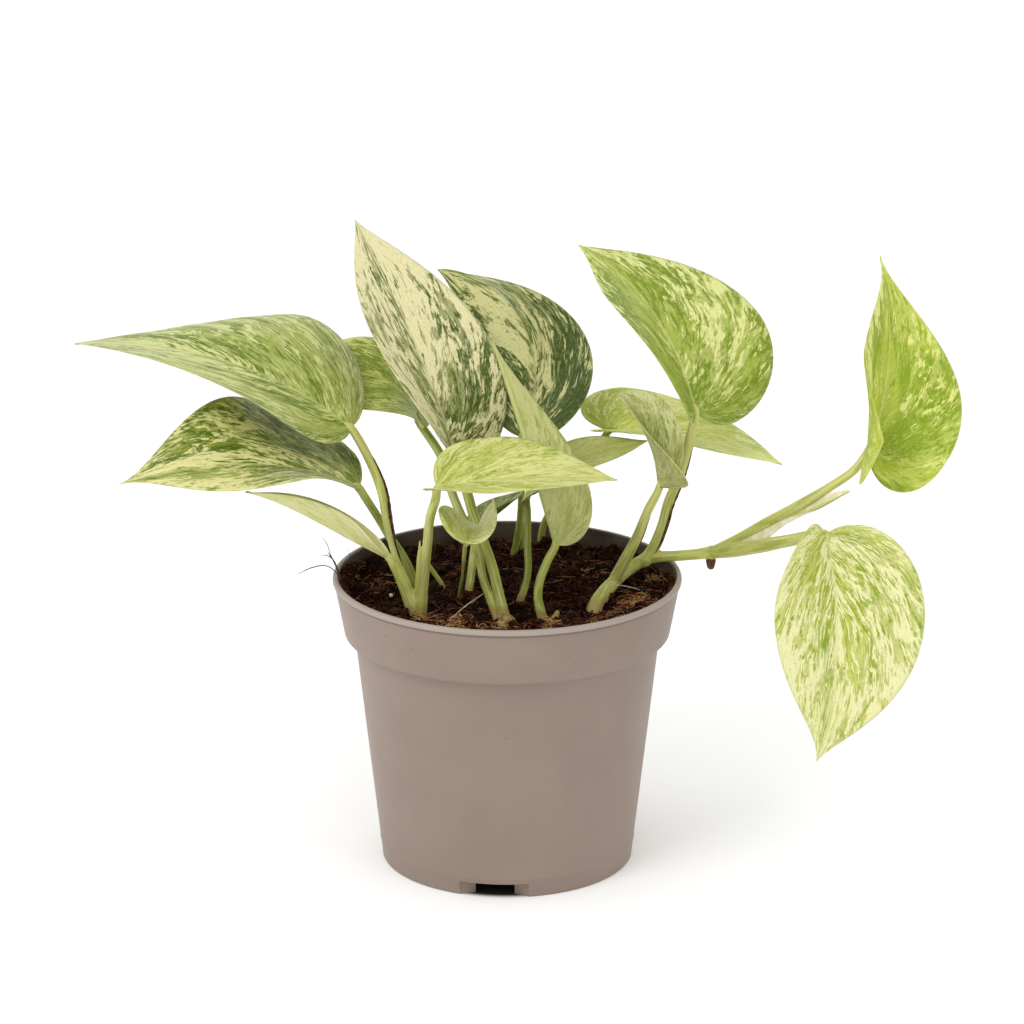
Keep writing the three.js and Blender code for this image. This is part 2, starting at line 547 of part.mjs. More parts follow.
function soilSolid() {
  const top = insideRadius(soilTop - soilEdgeDrop) - gap;
  const low = footHeight + wall + gap;
  const profile = [
    [0, low],
    [insideRadius(low) - gap - 0.2, low],
    [insideRadius(bandFoot - 1.5) - gap, bandFoot - 1.5 + gap],
    [insideRadius(bandFoot + 1.2) - gap, bandFoot + 1.2 + gap],
    [top, soilTop - soilEdgeDrop],
    ...soilRings.toReversed().map((share) => [share * top, soilTop]),
    [0, soilTop],
  ];
  const geometry = turned(profile, soilSides);
  const position = geometry.attributes.position;
  for (let i = 0; i < position.count; i++) {
    const [x, y, z] = [position.getX(i), position.getY(i), position.getZ(i)];
    if (z > soilTop - 0.1) position.setZ(i, z + soilRelief(x, y));
    else if (z > soilTop - soilEdgeDrop - 0.1) position.setZ(i, z + Math.max(soilRelief(x, y), 0));
  }
  return Object.values(stems).reduce((soil, stem) => soil.subtract(stemSolid(stem, gap)), solidOf(geometry));
}

// ---- The whole plant -------------------------------------------------------------------------

const plant = new THREE.Group();
plant.add(piece('pot', potSolid(), potPlastic));
plant.add(piece('soil', largestBody(soilSolid()), pottingSoil));
for (const [name, stem] of Object.entries(stems)) {
  plant.add(piece(name, stemSolid(stem), stemGreen));
  for (const { carries, stations } of stem.shoots) {
    if (!carries) continue;
    plant.add(piece(carries, leafSolid(leaves[carries], stations), leafColours[carries] ?? leafMarbled));
  }
}

export default plant;
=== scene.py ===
# A variegated trailing house plant in a round nursery pot: its finish, the light and the view.
import math
import random

import bmesh
import bpy
from mathutils import Matrix, Vector, noise
from mathutils.kdtree import KDTree


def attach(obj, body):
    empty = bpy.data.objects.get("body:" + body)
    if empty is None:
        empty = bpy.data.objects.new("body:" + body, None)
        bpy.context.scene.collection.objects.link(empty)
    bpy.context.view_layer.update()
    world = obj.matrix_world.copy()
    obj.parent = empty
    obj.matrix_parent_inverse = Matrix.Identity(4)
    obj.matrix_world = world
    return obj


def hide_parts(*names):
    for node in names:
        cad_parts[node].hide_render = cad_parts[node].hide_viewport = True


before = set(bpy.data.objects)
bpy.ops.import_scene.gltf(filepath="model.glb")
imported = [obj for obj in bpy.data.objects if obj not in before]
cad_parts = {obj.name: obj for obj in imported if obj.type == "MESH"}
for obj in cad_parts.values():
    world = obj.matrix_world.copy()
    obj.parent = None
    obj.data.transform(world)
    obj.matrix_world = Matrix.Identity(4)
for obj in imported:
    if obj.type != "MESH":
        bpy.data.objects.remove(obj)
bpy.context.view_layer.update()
mm = 0.001
random.seed(7)

# The pot's sizes in millimetres. The rest of the pot and the soil follow from them.
pot = dict(rimDiameter=120, height=102, bandHeight=20, baseDiameter=87, wall=1.4, footHeight=5,
           soilBelowRim=9, rootDepth=14)
rimRadius = pot["rimDiameter"] / 2
baseRadius = pot["baseDiameter"] / 2
bandFoot = pot["height"] - pot["bandHeight"]
soilTop = pot["height"] - pot["soilBelowRim"]
rootEnd = soilTop - pot["rootDepth"]


# ---- shader expressions

class Signal:  # a socket that can be written into an expression
    def __init__(self, finish, socket):
        self.finish = finish
        self.socket = socket

    def calc(self, operation, *others):
        return self.finish.add("ShaderNodeMath", dict(operation=operation), [self, *others])

    def __add__(self, other):
        return self.calc("ADD", other)

    def __sub__(self, other):
        return self.calc("SUBTRACT", other)

    def __rsub__(self, other):
        return self.finish.add("ShaderNodeMath", dict(operation="SUBTRACT"), [other, self])

    def __mul__(self, other):
        return self.calc("MULTIPLY", other)

    def __truediv__(self, other):
        return self.calc("DIVIDE", other)

    def __pow__(self, other):
        return self.calc("POWER", other)

    def step(self, low, high):  # 0 below low, 1 above high, smooth between them
        return self.finish.add("ShaderNodeMapRange", dict(interpolation_type="SMOOTHSTEP"),
                               [self, low, high, 0.0, 1.0])

    __radd__ = __add__
    __rmul__ = __mul__


class Finish:  # one material, with its shader and a way to add nodes
    def __init__(self, name, **shader):
        self.material = bpy.data.materials.new(name)
        self.material.use_nodes = True
        self.tree = self.material.node_tree
        self.shader = self.tree.nodes["Principled BSDF"]
        self.set(**{"Roughness": 0.5, "Specular_IOR_Level": 0.28, **shader})

    def set(self, **sockets):
        for key, value in sockets.items():
            self.feed(self.shader.inputs[key.replace("_", " ")], value)

    def feed(self, socket, value):
        if isinstance(value, Signal):
            self.tree.links.new(value.socket, socket)
        else:
            socket.default_value = value

    def add(self, kind, settings=None, sockets=(), output=0):
        node = self.tree.nodes.new(kind)
        for key, value in (settings or {}).items():
            setattr(node, key, value)
        pairs = sockets.items() if isinstance(sockets, dict) else enumerate(sockets)
        for key, value in pairs:
            self.feed(node.inputs[key], value)
        return Signal(self, node.outputs[output])

    def noise(self, vector, scale=1.0, detail=2.0, roughness=0.5):
        return self.add("ShaderNodeTexNoise", None, dict(
            Vector=vector, Scale=scale, Detail=detail, Roughness=roughness))

    def mix(self, factor, first, second):  # of two colours
        return self.add("ShaderNodeMix", dict(data_type="RGBA"), {0: factor, 6: first, 7: second}, 2)

    def place(self):  # where a point is on the object, in millimetres
        where = self.add("ShaderNodeTexCoord", None, (), "Object")
        return self.add("ShaderNodeVectorMath", dict(operation="SCALE"), dict(Vector=where, Scale=1 / mm))

    def attribute(self, name):
        return self.add("ShaderNodeAttribute", dict(attribute_name=name), (), 1)

    def parts(self, vector):
        node = self.add("ShaderNodeSeparateXYZ", None, [vector]).socket.node
        return [Signal(self, socket) for socket in node.outputs]

    def vector(self, x, y, z):
        return self.add("ShaderNodeCombineXYZ", None, [x, y, z])

    def stretched(self, vector, x, y, z):  # the vector, scaled along each of its axes
        return self.vector(*[part * size for part, size in zip(self.parts(vector), (x, y, z))])

    def bump(self, height, strength, distance):
        return self.add("ShaderNodeBump", None, dict(
            Height=height, Strength=strength, Distance=distance * mm))


lightLevel = 1.16  # how much brighter than its own colour a surface shows in this studio
glare = 0.02       # and the white that its gloss adds


def rgb(red, green, blue):  # how a finish shows on screen, 0 to 255, as the shader's linear colour
    parts = [value / 255 for value in (red, green, blue)]
    linear = [v / 12.92 if v < 0.04045 else ((v + 0.055) / 1.055) ** 2.4 for v in parts]
    return (*[max(v - glare, v * 0.25) / lightLevel for v in linear], 1.0)


# ---- building pieces

def keep(name, bm, finishes, node=None):  # a finished mesh as a piece of the object
    for vertex in bm.verts:
        vertex.co *= mm
    mesh = bpy.data.meshes.new(name)
    for face in bm.faces:
        face.smooth = True
    bm.to_mesh(mesh)
    bm.free()
    for finish in finishes:
        mesh.materials.append(finish.material)
    thing = bpy.data.objects.new(name, mesh)
    bpy.context.scene.collection.objects.link(thing)
    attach(thing, "root")
    if node:
        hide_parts(node)
    return thing


def scratch(name, bm):  # a helper object, for a modifier; its mesh stays in millimetres
    mesh = bpy.data.meshes.new(name)
    bm.to_mesh(mesh)
    bm.free()
    thing = bpy.data.objects.new(name, mesh)
    bpy.context.scene.collection.objects.link(thing)
    return thing


def applied(thing, helpers=()):  # the mesh with its modifiers in it; the objects are removed
    bpy.context.view_layer.update()
    graph = bpy.context.evaluated_depsgraph_get()
    mesh = bpy.data.meshes.new_from_object(thing.evaluated_get(graph))
    for old in (thing, *helpers):
        bpy.data.objects.remove(old)
    bm = bmesh.new()
    bm.from_mesh(mesh)
    bpy.data.meshes.remove(mesh)
    return bm


def smoothStep(value, low, high):
    share = min(max((value - low) / (high - low), 0.0), 1.0)
    return share * share * (3 - 2 * share)


def mixed(first, second, share):
    return first + (second - first) * share


# ---- leaves

# Each leaf grows from the end of its stalk: base, heading round from +X, pitch and roll, in
# millimetres and degrees. droop, hook, sway, tipSway and twist bend its midrib. A half is
# [width, fold, fold at the tip, curl, cup of the lobe, lobe, fullness near the tip], and may go
# on with its own widest and point.
leaves = {
    "leaf_far_left": dict(
        base=(-53.5, 8, 152), heading=177, pitch=40, roll=-2, length=109.5, droop=59, hook=-11,
        sway=-14, tipSway=-32, twist=12, widest=0.51, point=0.77,
        left=(26, -22, -8, 22, -16, 0.2, 0.39), right=(45.5, 61, 10, -51, -26, 0.2, 0.75)),
    "leaf_low_left": dict(
        base=(-51, -2, 134), heading=200, pitch=29, roll=13, length=85.5, droop=49, hook=0,
        sway=-6, tipSway=-8, twist=-41, widest=0.43, point=0.69,
        left=(22, 12, -24, 10, -27, 0, 0.02), right=(38, 9, 38, -1, 26, 0.5, 0.05)),
    "leaf_back_left": dict(
        base=(-31, 38, 145.5), heading=180, pitch=77, roll=15, length=56.5, droop=148, hook=-44,
        sway=-14, tipSway=-18, twist=-25, widest=0.46, point=0.74,
        left=(17.5, -21, -67, 22, 14, 0.5, 0.26), right=(20, 30, 41, -10, 3, 1, 0.28)),
    "leaf_tall_cream": dict(
        base=(-19, 8.5, 145), heading=132, pitch=66, roll=6, length=85.5, droop=21, hook=-10,
        sway=6, tipSway=-2, twist=-8, widest=0.42, point=0.76,
        left=(28, 26, -2, 17, 7, 0.9, 0.32), right=(28, 18, 9, 3, -14, 1.1, 0.34)),
    "leaf_dark_back": dict(
        base=(5, 26.4, 143.3), heading=47, pitch=52, roll=53, length=79.5, droop=39, hook=10,
        sway=80, tipSway=35, twist=32, widest=0.51, point=0.71,
        left=(34, -12, -25, 4, 6, 0.2, 1.45), right=(21, 29, -49, 49, 8, 0.2, 0.2)),
    "leaf_folded": dict(
        base=(16.5, -15.5, 118), heading=141, pitch=68, roll=164, length=75.5, droop=4, hook=-8,
        sway=-1, tipSway=-1, twist=10, widest=0.33, point=0.68,
        left=(17.5, -15, 13, -8, -11, 0.4, 0.02), right=(13, 150, 128, 5, 0, 0, 0.2)),
    "leaf_turned_over": dict(
        base=(7, 13.7, 125.9), heading=9, pitch=46, roll=183, length=47, droop=-45, hook=-6,
        sway=8, tipSway=-10, twist=12, widest=0.43, point=0.76,
        left=(14, -3, 12, -25, -8, 1, 0.48), right=(12, 3, 1, -23, 0, 0.1, 0.22)),
    "leaf_front": dict(
        base=(-23, -30, 142.5), heading=4, pitch=11, roll=8, length=60.5, droop=23, hook=-5,
        sway=-1, tipSway=1, twist=5, widest=0.41, point=0.74,
        left=(23, 12, 14, -3, 15, 0.3, 0.31), right=(17.5, 4, 8, 12, 15, 1, 0.25)),
    "leaf_rolled": dict(
        base=(-40, -14, 112.5), heading=160, pitch=19, roll=-8, length=55, droop=-14, hook=20,
        sway=-1, tipSway=17, twist=1, widest=0.6, point=0.82,
        left=(12, 63, 52, 10, -30, 0, 0), right=(7, 70, 71, 1, 3, 0, 0)),
    "leaf_tall_right": dict(
        base=(64, 4, 159), heading=113, pitch=57, roll=13, length=78.5, droop=43, hook=-4,
        sway=13, tipSway=13, twist=-3, widest=0.41, point=0.72,
        left=(24, 39, -9, 8, -2, 0.9, 0.42), right=(35, 22, 4, 4, -23, 0.8, 0.36)),
    "leaf_back_right": dict(
        base=(36, 39.5, 141.7), heading=-14, pitch=5, roll=-19, length=64, droop=27, hook=-7,
        sway=-2, tipSway=-13, twist=2, widest=0.43, point=0.74,
        left=(24.5, 42, 16, -6, 4, 1.9, 0.34), right=(20.5, -6, -17, 8, 0, 1, 0.26)),
    "leaf_curled": dict(
        base=(52, -2, 134), heading=144, pitch=85, roll=-24, length=40.5, droop=79, hook=3,
        sway=3, tipSway=6, twist=-9, widest=0.46, point=0.75,
        left=(22, 95, 20, -4, 0, -0.2, 0.1, 0, 0.2), right=(14, 68, 52, 4, 0, -0.1, 0.4)),
    "leaf_small": dict(
        base=(-13.5, -26, 121.5), heading=1, pitch=31, roll=-7, length=18.5, droop=-51, hook=-13,
        sway=15, tipSway=-2, twist=13, widest=0.4, point=0.72,
        left=(17.5, -2, 8, -8, 46, 2, 0.18), right=(13, 15, -9, -18, 11, 0.8, 0.21)),
    "leaf_hidden": dict(
        base=(-10, 18, 113), heading=30, pitch=32, roll=-18, length=22, droop=9, hook=-10,
        sway=2, tipSway=2, twist=6, widest=0.42, point=0.72,
        left=(11, 15, 15, 5, 0, 1, 0.2), right=(12.5, 13, 7, 17, -4, 0.9, 0.22)),
    "leaf_vine_up": dict(
        base=(120, -35, 157), heading=66, pitch=37, roll=37, length=78.5, droop=15, hook=-16,
        sway=20, tipSway=15, twist=11, widest=0.39, point=0.68,
        left=(27, 48, 22, 9, 16, 2.5, 0.02), right=(28, 29, 12, 14, -2, 1.7, 0.07)),
    "leaf_vine_down": dict(
        base=(106.5, -38, 128.5), heading=-62, pitch=-65, roll=13, length=81, droop=40, hook=1,
        sway=-16, tipSway=-4, twist=7, widest=0.47, point=0.72,
        left=(30, 22, 18, 14, 0, 0.4, 0.22), right=(24.5, 20, 6, 2, 22, 0.7, 0.17)),
}

midribSteps = 24
bladeMesh = dict(rows=110, columns=20, thickness=0.62, edgeShare=0.3, ridge=0.75, ridgeWidth=1.1,
                 groove=0.22, quilt=0.16, quiltVeins=9, veinStart=0.48, veinBend=1.8, veinSweep=1.1,
                 lobeReach=0.35, outlineSamples=60)


def leafAhead(leaf):  # which way the midrib sets off
    heading, pitch = math.radians(leaf["heading"]), math.radians(leaf["pitch"])
    return Vector((math.cos(pitch) * math.cos(heading), math.cos(pitch) * math.sin(heading),
                   math.sin(pitch)))


def midribFrames(leaf):  # along it: where it is, which way it runs, its left and its upper side
    heading, roll = math.radians(leaf["heading"]), math.radians(leaf["roll"])
    along = leafAhead(leaf)
    left = Matrix.Rotation(roll, 3, along) @ Vector((-math.sin(heading), math.cos(heading), 0))
    up = along.cross(left)
    at = Vector(leaf["base"])
    frames = [(at.copy(), along.copy(), left.copy(), up.copy())]
    for i in range(midribSteps):
        low, high = i / midribSteps, (i + 1) / midribSteps

        def bend(whole, tip):
            return math.radians(whole * (high - low) + tip * (high ** 3 - low ** 3))

        before = along.copy()
        turn = Matrix.Rotation(bend(leaf["droop"], leaf["hook"]), 3, left)
        along, up = turn @ along, turn @ up
        turn = Matrix.Rotation(bend(leaf["sway"], leaf["tipSway"]), 3, up)
        along, left = turn @ along, turn @ left
        turn = Matrix.Rotation(bend(leaf["twist"], 0), 3, along)
        left, up = turn @ left, turn @ up
        at = at + (before + along) * leaf["length"] / midribSteps / 2
        frames.append((at.copy(), along.copy(), left.copy(), up.copy()))
    return frames


def frameAt(frames, share, length):  # behind the base the midrib runs straight back
    place = min(max(share, 0), 1) * midribSteps
    i = min(int(place), midribSteps - 1)
    at, _, left, up = (a.lerp(b, place - i) for a, b in zip(frames[i], frames[i + 1]))
    return at + frames[0][1] * min(share, 0) * length, left, up


def outlinePoint(s, leaf, half):  # from the base (0) back round the lobe and out to the tip (1)
    lobe, fullness = half[5:7]
    widest, point = half[7:9] if len(half) > 7 else (leaf["widest"], leaf["point"])
    points = [(0, 0), (-0.1 * lobe, 0.1), (-0.34 * lobe, 0.95), (widest, 1.95), (point, fullness), (1, 0)]
    while len(points) > 1:
        points = [(mixed(a[0], b[0], s), mixed(a[1], b[1], s)) for a, b in zip(points, points[1:])]
    return points[0]


def veinFoot(s):  # where on the midrib the vein to that point of the outline starts
    start = bladeMesh["veinStart"]
    return min(max((s - start) / (1 - start), 0), 1) ** bladeMesh["veinBend"]


def bladePoint(leaf, frames, half, fullest, side, s, t):
    width, fold, foldTip, curl, cup = half[:5]
    edgeAlong, edgeAcross = outlinePoint(s, leaf, half)
    along = mixed(veinFoot(s), edgeAlong, t ** bladeMesh["veinSweep"])
    across = edgeAcross / fullest * t
    lobeShare = min(max(1 - along / bladeMesh["lobeReach"], 0), 1.4) ** 2
    rise = math.radians(mixed(fold, foldTip, min(max(along, 0), 1)) + cup * lobeShare) + 1e-5
    turn = math.radians(curl) + 1e-6
    out = width / turn * (math.sin(rise + turn * across) - math.sin(rise))
    lift = -width / turn * (math.cos(rise + turn * across) - math.cos(rise))
    at, left, up = frameAt(frames, along, leaf["length"])
    return at + left * side * out + up * lift, along, side * across * width


def thicken(bm, blade, rib):  # gives the blade its under side and its edge, and its veins their relief
    upper = bm.faces[:]
    copied = bmesh.ops.duplicate(bm, geom=bm.verts[:] + bm.edges[:] + bm.faces[:])
    under = [item for item in copied["geom"] if isinstance(item, bmesh.types.BMFace)]
    lower = {vertex: copied["vert_map"][vertex] for face in upper for vertex in face.verts}
    for top, bottom in lower.items():
        normal = top.normal.copy()
        s, t, along = top[blade]
        across = top[rib][1]
        edge = mixed(1.0, bladeMesh["edgeShare"], smoothStep(abs(t), 0.8, 1.0) if s > 0.02 else 1.0)
        half = bladeMesh["thickness"] / 2 * edge
        ridge = math.exp(-(across / bladeMesh["ridgeWidth"]) ** 2) * max(1 - along, 0) ** 0.6
        quilt = math.sin(s * bladeMesh["quiltVeins"] * 2 * math.pi) * abs(t) * (1 - abs(t)) * 4
        quilt *= bladeMesh["quilt"] * smoothStep(across, 2, 8)
        middle = top.co + normal * quilt
        top.co = middle + normal * (half - bladeMesh["groove"] * ridge)
        bottom.co = middle - normal * (half + bladeMesh["ridge"] * ridge)
    bmesh.ops.reverse_faces(bm, faces=under)
    for face in under:
        face.material_index = 1
    for edge in dict.fromkeys(edge for face in upper for edge in face.edges if edge.is_boundary):
        loop = edge.link_loops[0]
        first, second = loop.vert, loop.link_loop_next.vert
        bm.faces.new((second, first, lower[first], lower[second]))


def buildLeaf(name, leaf, finishes):
    frames = midribFrames(leaf)
    samples = [i / (bladeMesh["outlineSamples"] - 1) for i in range(bladeMesh["outlineSamples"])]
    fullest = {key: max(outlinePoint(s, leaf, leaf[key])[1] for s in samples) for key in ("left", "right")}
    bm = bmesh.new()
    bmesh.ops.create_grid(bm, x_segments=2 * bladeMesh["columns"], y_segments=bladeMesh["rows"], size=1)
    blade = bm.verts.layers.float_vector.new("blade")
    rib = bm.verts.layers.float_vector.new("rib")
    for vertex in bm.verts:
        t, s = -vertex.co.x, (vertex.co.y + 1) / 2
        key, side = ("left", 1) if t >= 0 else ("right", -1)
        vertex.co, along, across = bladePoint(leaf, frames, leaf[key], fullest[key], side, s, abs(t))
        vertex[blade] = (s, t, along)
        vertex[rib] = (across, abs(across), 0)
    bmesh.ops.remove_doubles(bm, verts=bm.verts, dist=0.02)
    bmesh.ops.dissolve_degenerate(bm, edges=bm.edges, dist=0.005)
    bm.normal_update()
    thicken(bm, blade, rib)
    return keep(name, bm, finishes, node=name)


# How each leaf is marbled. cream and light are shares of the blade, and grain is the streaks'
# fineness. The tones are screen colours: the leaf's green, its lighter green and its cream.
# The tones were matched leaf by leaf to how bright each leaf shows under this light, so besides its own
# colour they hold painted light: a leaf that lies in shade is painted lighter.
leafLooks = {
    "leaf_far_left": dict(green=(108, 128, 42), light=(162, 174, 88), cream=(218, 221, 150),
                          creamShare=0.42, lightShare=0.6, grain=1.0, seed=1.7),
    "leaf_low_left": dict(green=(88, 112, 26), light=(142, 156, 64), cream=(230, 224, 156),
                          creamShare=0.42, lightShare=0.35, grain=0.65, patchy=0.8, seed=2.3),
    "leaf_back_left": dict(green=(128, 147, 48), light=(190, 202, 98), cream=(226, 226, 146),
                           creamShare=0.32, lightShare=0.45, grain=0.9, seed=3.1),
    "leaf_tall_cream": dict(green=(84, 104, 34), light=(134, 144, 74), cream=(240, 231, 180),
                            creamShare=0.53, lightShare=0.35, grain=0.5, patchy=0.6, seed=4.9),
    "leaf_dark_back": dict(green=(72, 90, 24), light=(106, 122, 52), cream=(216, 212, 150),
                           creamShare=0.27, lightShare=0.3, grain=0.7, patchy=0.9, seed=5.2),
    "leaf_folded": dict(green=(150, 158, 78), light=(186, 190, 112), cream=(214, 214, 150),
                        creamShare=0.5, lightShare=0.6, grain=1.0, seed=6.6),
    "leaf_turned_over": dict(green=(158, 164, 74), light=(188, 192, 108), cream=(212, 212, 146),
                             creamShare=0.3, lightShare=0.5, grain=1.0, seed=7.4),
    "leaf_front": dict(green=(148, 162, 50), light=(194, 200, 106), cream=(222, 222, 146),
                       creamShare=0.45, lightShare=0.5, grain=1.0, patchy=0.25, seed=8.8),
    "leaf_rolled": dict(green=(196, 200, 96), light=(212, 212, 134), cream=(234, 230, 180),
                        creamShare=0.55, lightShare=0.5, grain=0.6, seed=9.1),
    "leaf_tall_right": dict(green=(124, 146, 42), light=(170, 184, 82), cream=(232, 232, 158),
                            creamShare=0.3, lightShare=0.5, grain=0.7, patchy=0.7, seed=10.5),
    "leaf_back_right": dict(green=(192, 204, 74), light=(218, 224, 114), cream=(240, 240, 172),
                            creamShare=0.38, lightShare=0.5, grain=0.9, seed=11.2),
    "leaf_curled": dict(green=(150, 160, 80), light=(192, 196, 122), cream=(222, 222, 164),
                        creamShare=0.42, lightShare=0.45, grain=0.7, seed=12.9),
    "leaf_small": dict(green=(190, 195, 92), light=(222, 224, 136), cream=(240, 238, 180),
                       creamShare=0.35, lightShare=0.5, grain=0.8, seed=13.4),
    "leaf_hidden": dict(green=(96, 110, 42), light=(134, 146, 72), cream=(186, 190, 122),
                        creamShare=0.25, lightShare=0.4, grain=1.0, seed=14.3),
    "leaf_vine_up": dict(green=(148, 172, 38), light=(188, 204, 76), cream=(236, 236, 146),
                         creamShare=0.32, lightShare=0.5, grain=0.8, patchy=0.8, seed=15.8),
    "leaf_vine_down": dict(green=(148, 168, 48), light=(198, 204, 102), cream=(242, 238, 182),
                           creamShare=0.45, lightShare=0.5, grain=0.8, patchy=0.5, seed=16.1),
}

# How fine each kind of mark is, across the veins and along them, how much each counts, and how
# the marks run. zoneDepth, dust, rib, edge and back are how strongly those tones show.
marbling = dict(zone=(2.6, 0.9), patch=(4.5, 1.1), streak=(34, 3.6), fleck=(115, 13), speckle=(210, 36),
                patchWeight=0.5, streakWeight=1.0, fleckWeight=1.1, edgeBias=0.02, tipBias=0.035,
                lean=0.14, warp=0.07, softness=0.05, ribWidth=0.75, edgeLine=0.975, contrast=0.2,
                zoneDepth=0.6, dust=0.6, lightSpeckle=0.35, darkSpeckle=0.22, rib=0.6, edge=0.5,
                back=0.34, sideVeins=24, sway=(9, 3), tone=(14, 2), fine=(130, 5))
deepShade = (0.66, 0.76, 0.6)   # of a leaf's green, where it is darkest
backTint = (190, 194, 138)      # towards which the under sides turn


def leafFinish(name, look, under):
    finish = Finish(name + ("_under" if under else "_upper"), Roughness=0.6 if under else 0.42)
    s, t, along = finish.parts(finish.attribute("blade"))
    across = finish.parts(finish.attribute("rib"))[1]
    grain, seed = look["grain"], look["seed"]
    spread = t.calc("ABSOLUTE")

    def wash(place, key, detail):  # a soft variation at that fineness
        scale = marbling[key]
        return finish.noise(finish.vector(place * scale[0], t * scale[1], seed), 1.0, detail)

    vein = s + (1.0 - spread) * marbling["lean"] + (wash(s, "sway", 1) - 0.5) * marbling["warp"]

    def field(key, offset, detail):  # marks of that fineness, in line with the veins
        scale = marbling[key]
        return finish.noise(finish.vector(vein * (scale[0] * grain), t * scale[1], seed * 3 + offset),
                            1.0, detail, 0.65)

    patchWeight = look.get("patchy", marbling["patchWeight"])

    def mask(offset, share, softness, bias=0.0):  # about that share of the blade, in streaks
        total = patchWeight + marbling["streakWeight"] + marbling["fleckWeight"]
        level = (field("patch", offset, 1) * patchWeight
                 + field("streak", offset + 1, 3) * marbling["streakWeight"]
                 + field("fleck", offset + 2, 3) * marbling["fleckWeight"]) / total + bias
        edge = 0.5 + (0.5 - share) * marbling["contrast"]
        return level.step(edge - softness / 2, edge + softness / 2)

    colours = [rgb(*look[key]) for key in ("green", "light", "cream")]
    deep = (*[value * share for value, share in zip(colours[0], deepShade)], 1.0)
    zone = field("zone", 60, 1).step(0.5, 0.56) * marbling["zoneDepth"]
    colour = finish.mix(mask(0, look["lightShare"], 0.09) * (1.0 - zone), colours[0], colours[1])
    colour = finish.mix(zone, colour, finish.mix(mask(80, 0.5, 0.1), deep, colours[0]))
    dusty = tuple(mixed(a, b, 0.5) for a, b in zip(colours[1], colours[2]))
    outward = (t * t - 0.33) * marbling["edgeBias"] + (along - 0.5) * marbling["tipBias"]
    share, softness = look["creamShare"], marbling["softness"]
    colour = finish.mix(mask(40, share, softness, outward) * marbling["dust"], colour, dusty)
    colour = finish.mix(mask(20, share, softness, outward), colour, colours[2])
    speckle = field("speckle", 90, 2)
    colour = finish.mix(speckle.step(0.54, 0.62) * marbling["lightSpeckle"], colour, dusty)
    colour = finish.mix(speckle.step(0.46, 0.38) * marbling["darkSpeckle"], colour, colours[0])
    tone = wash(s, "tone", 2).step(0.3, 0.7)
    width = (1.0 - along * 0.75) * marbling["ribWidth"]
    onRib = 1.0 - (across / width).step(0.45, 1.0)
    edgeLine = spread.step(marbling["edgeLine"], 1.0)
    pale = tuple(mixed(a, b, 0.6) for a, b in zip(colours[1], colours[2]))
    colour = finish.mix(onRib * marbling["rib"], colour, pale)
    colour = finish.mix(edgeLine * marbling["edge"], colour, pale)
    if under:
        backTone = tuple(mixed(a, b, 0.35) for a, b in zip(look["light"], backTint))
        colour = finish.mix(marbling["back"], colour, rgb(*backTone))
    veins = (s * (2 * math.pi * marbling["sideVeins"])).calc("SINE") * 0.5 + 0.5
    relief = veins * 0.35 + tone * 0.3 + wash(vein, "fine", 2) * 0.5
    finish.set(Base_Color=colour, Normal=finish.bump(relief, 0.35, 0.15))
    return finish


for name, leaf in leaves.items():
    finishes = [leafFinish(name, leafLooks[name], under) for under in (False, True)]
    buildLeaf(name, leaf, finishes)
print("leaves:", len(leaves))


# ---- stems

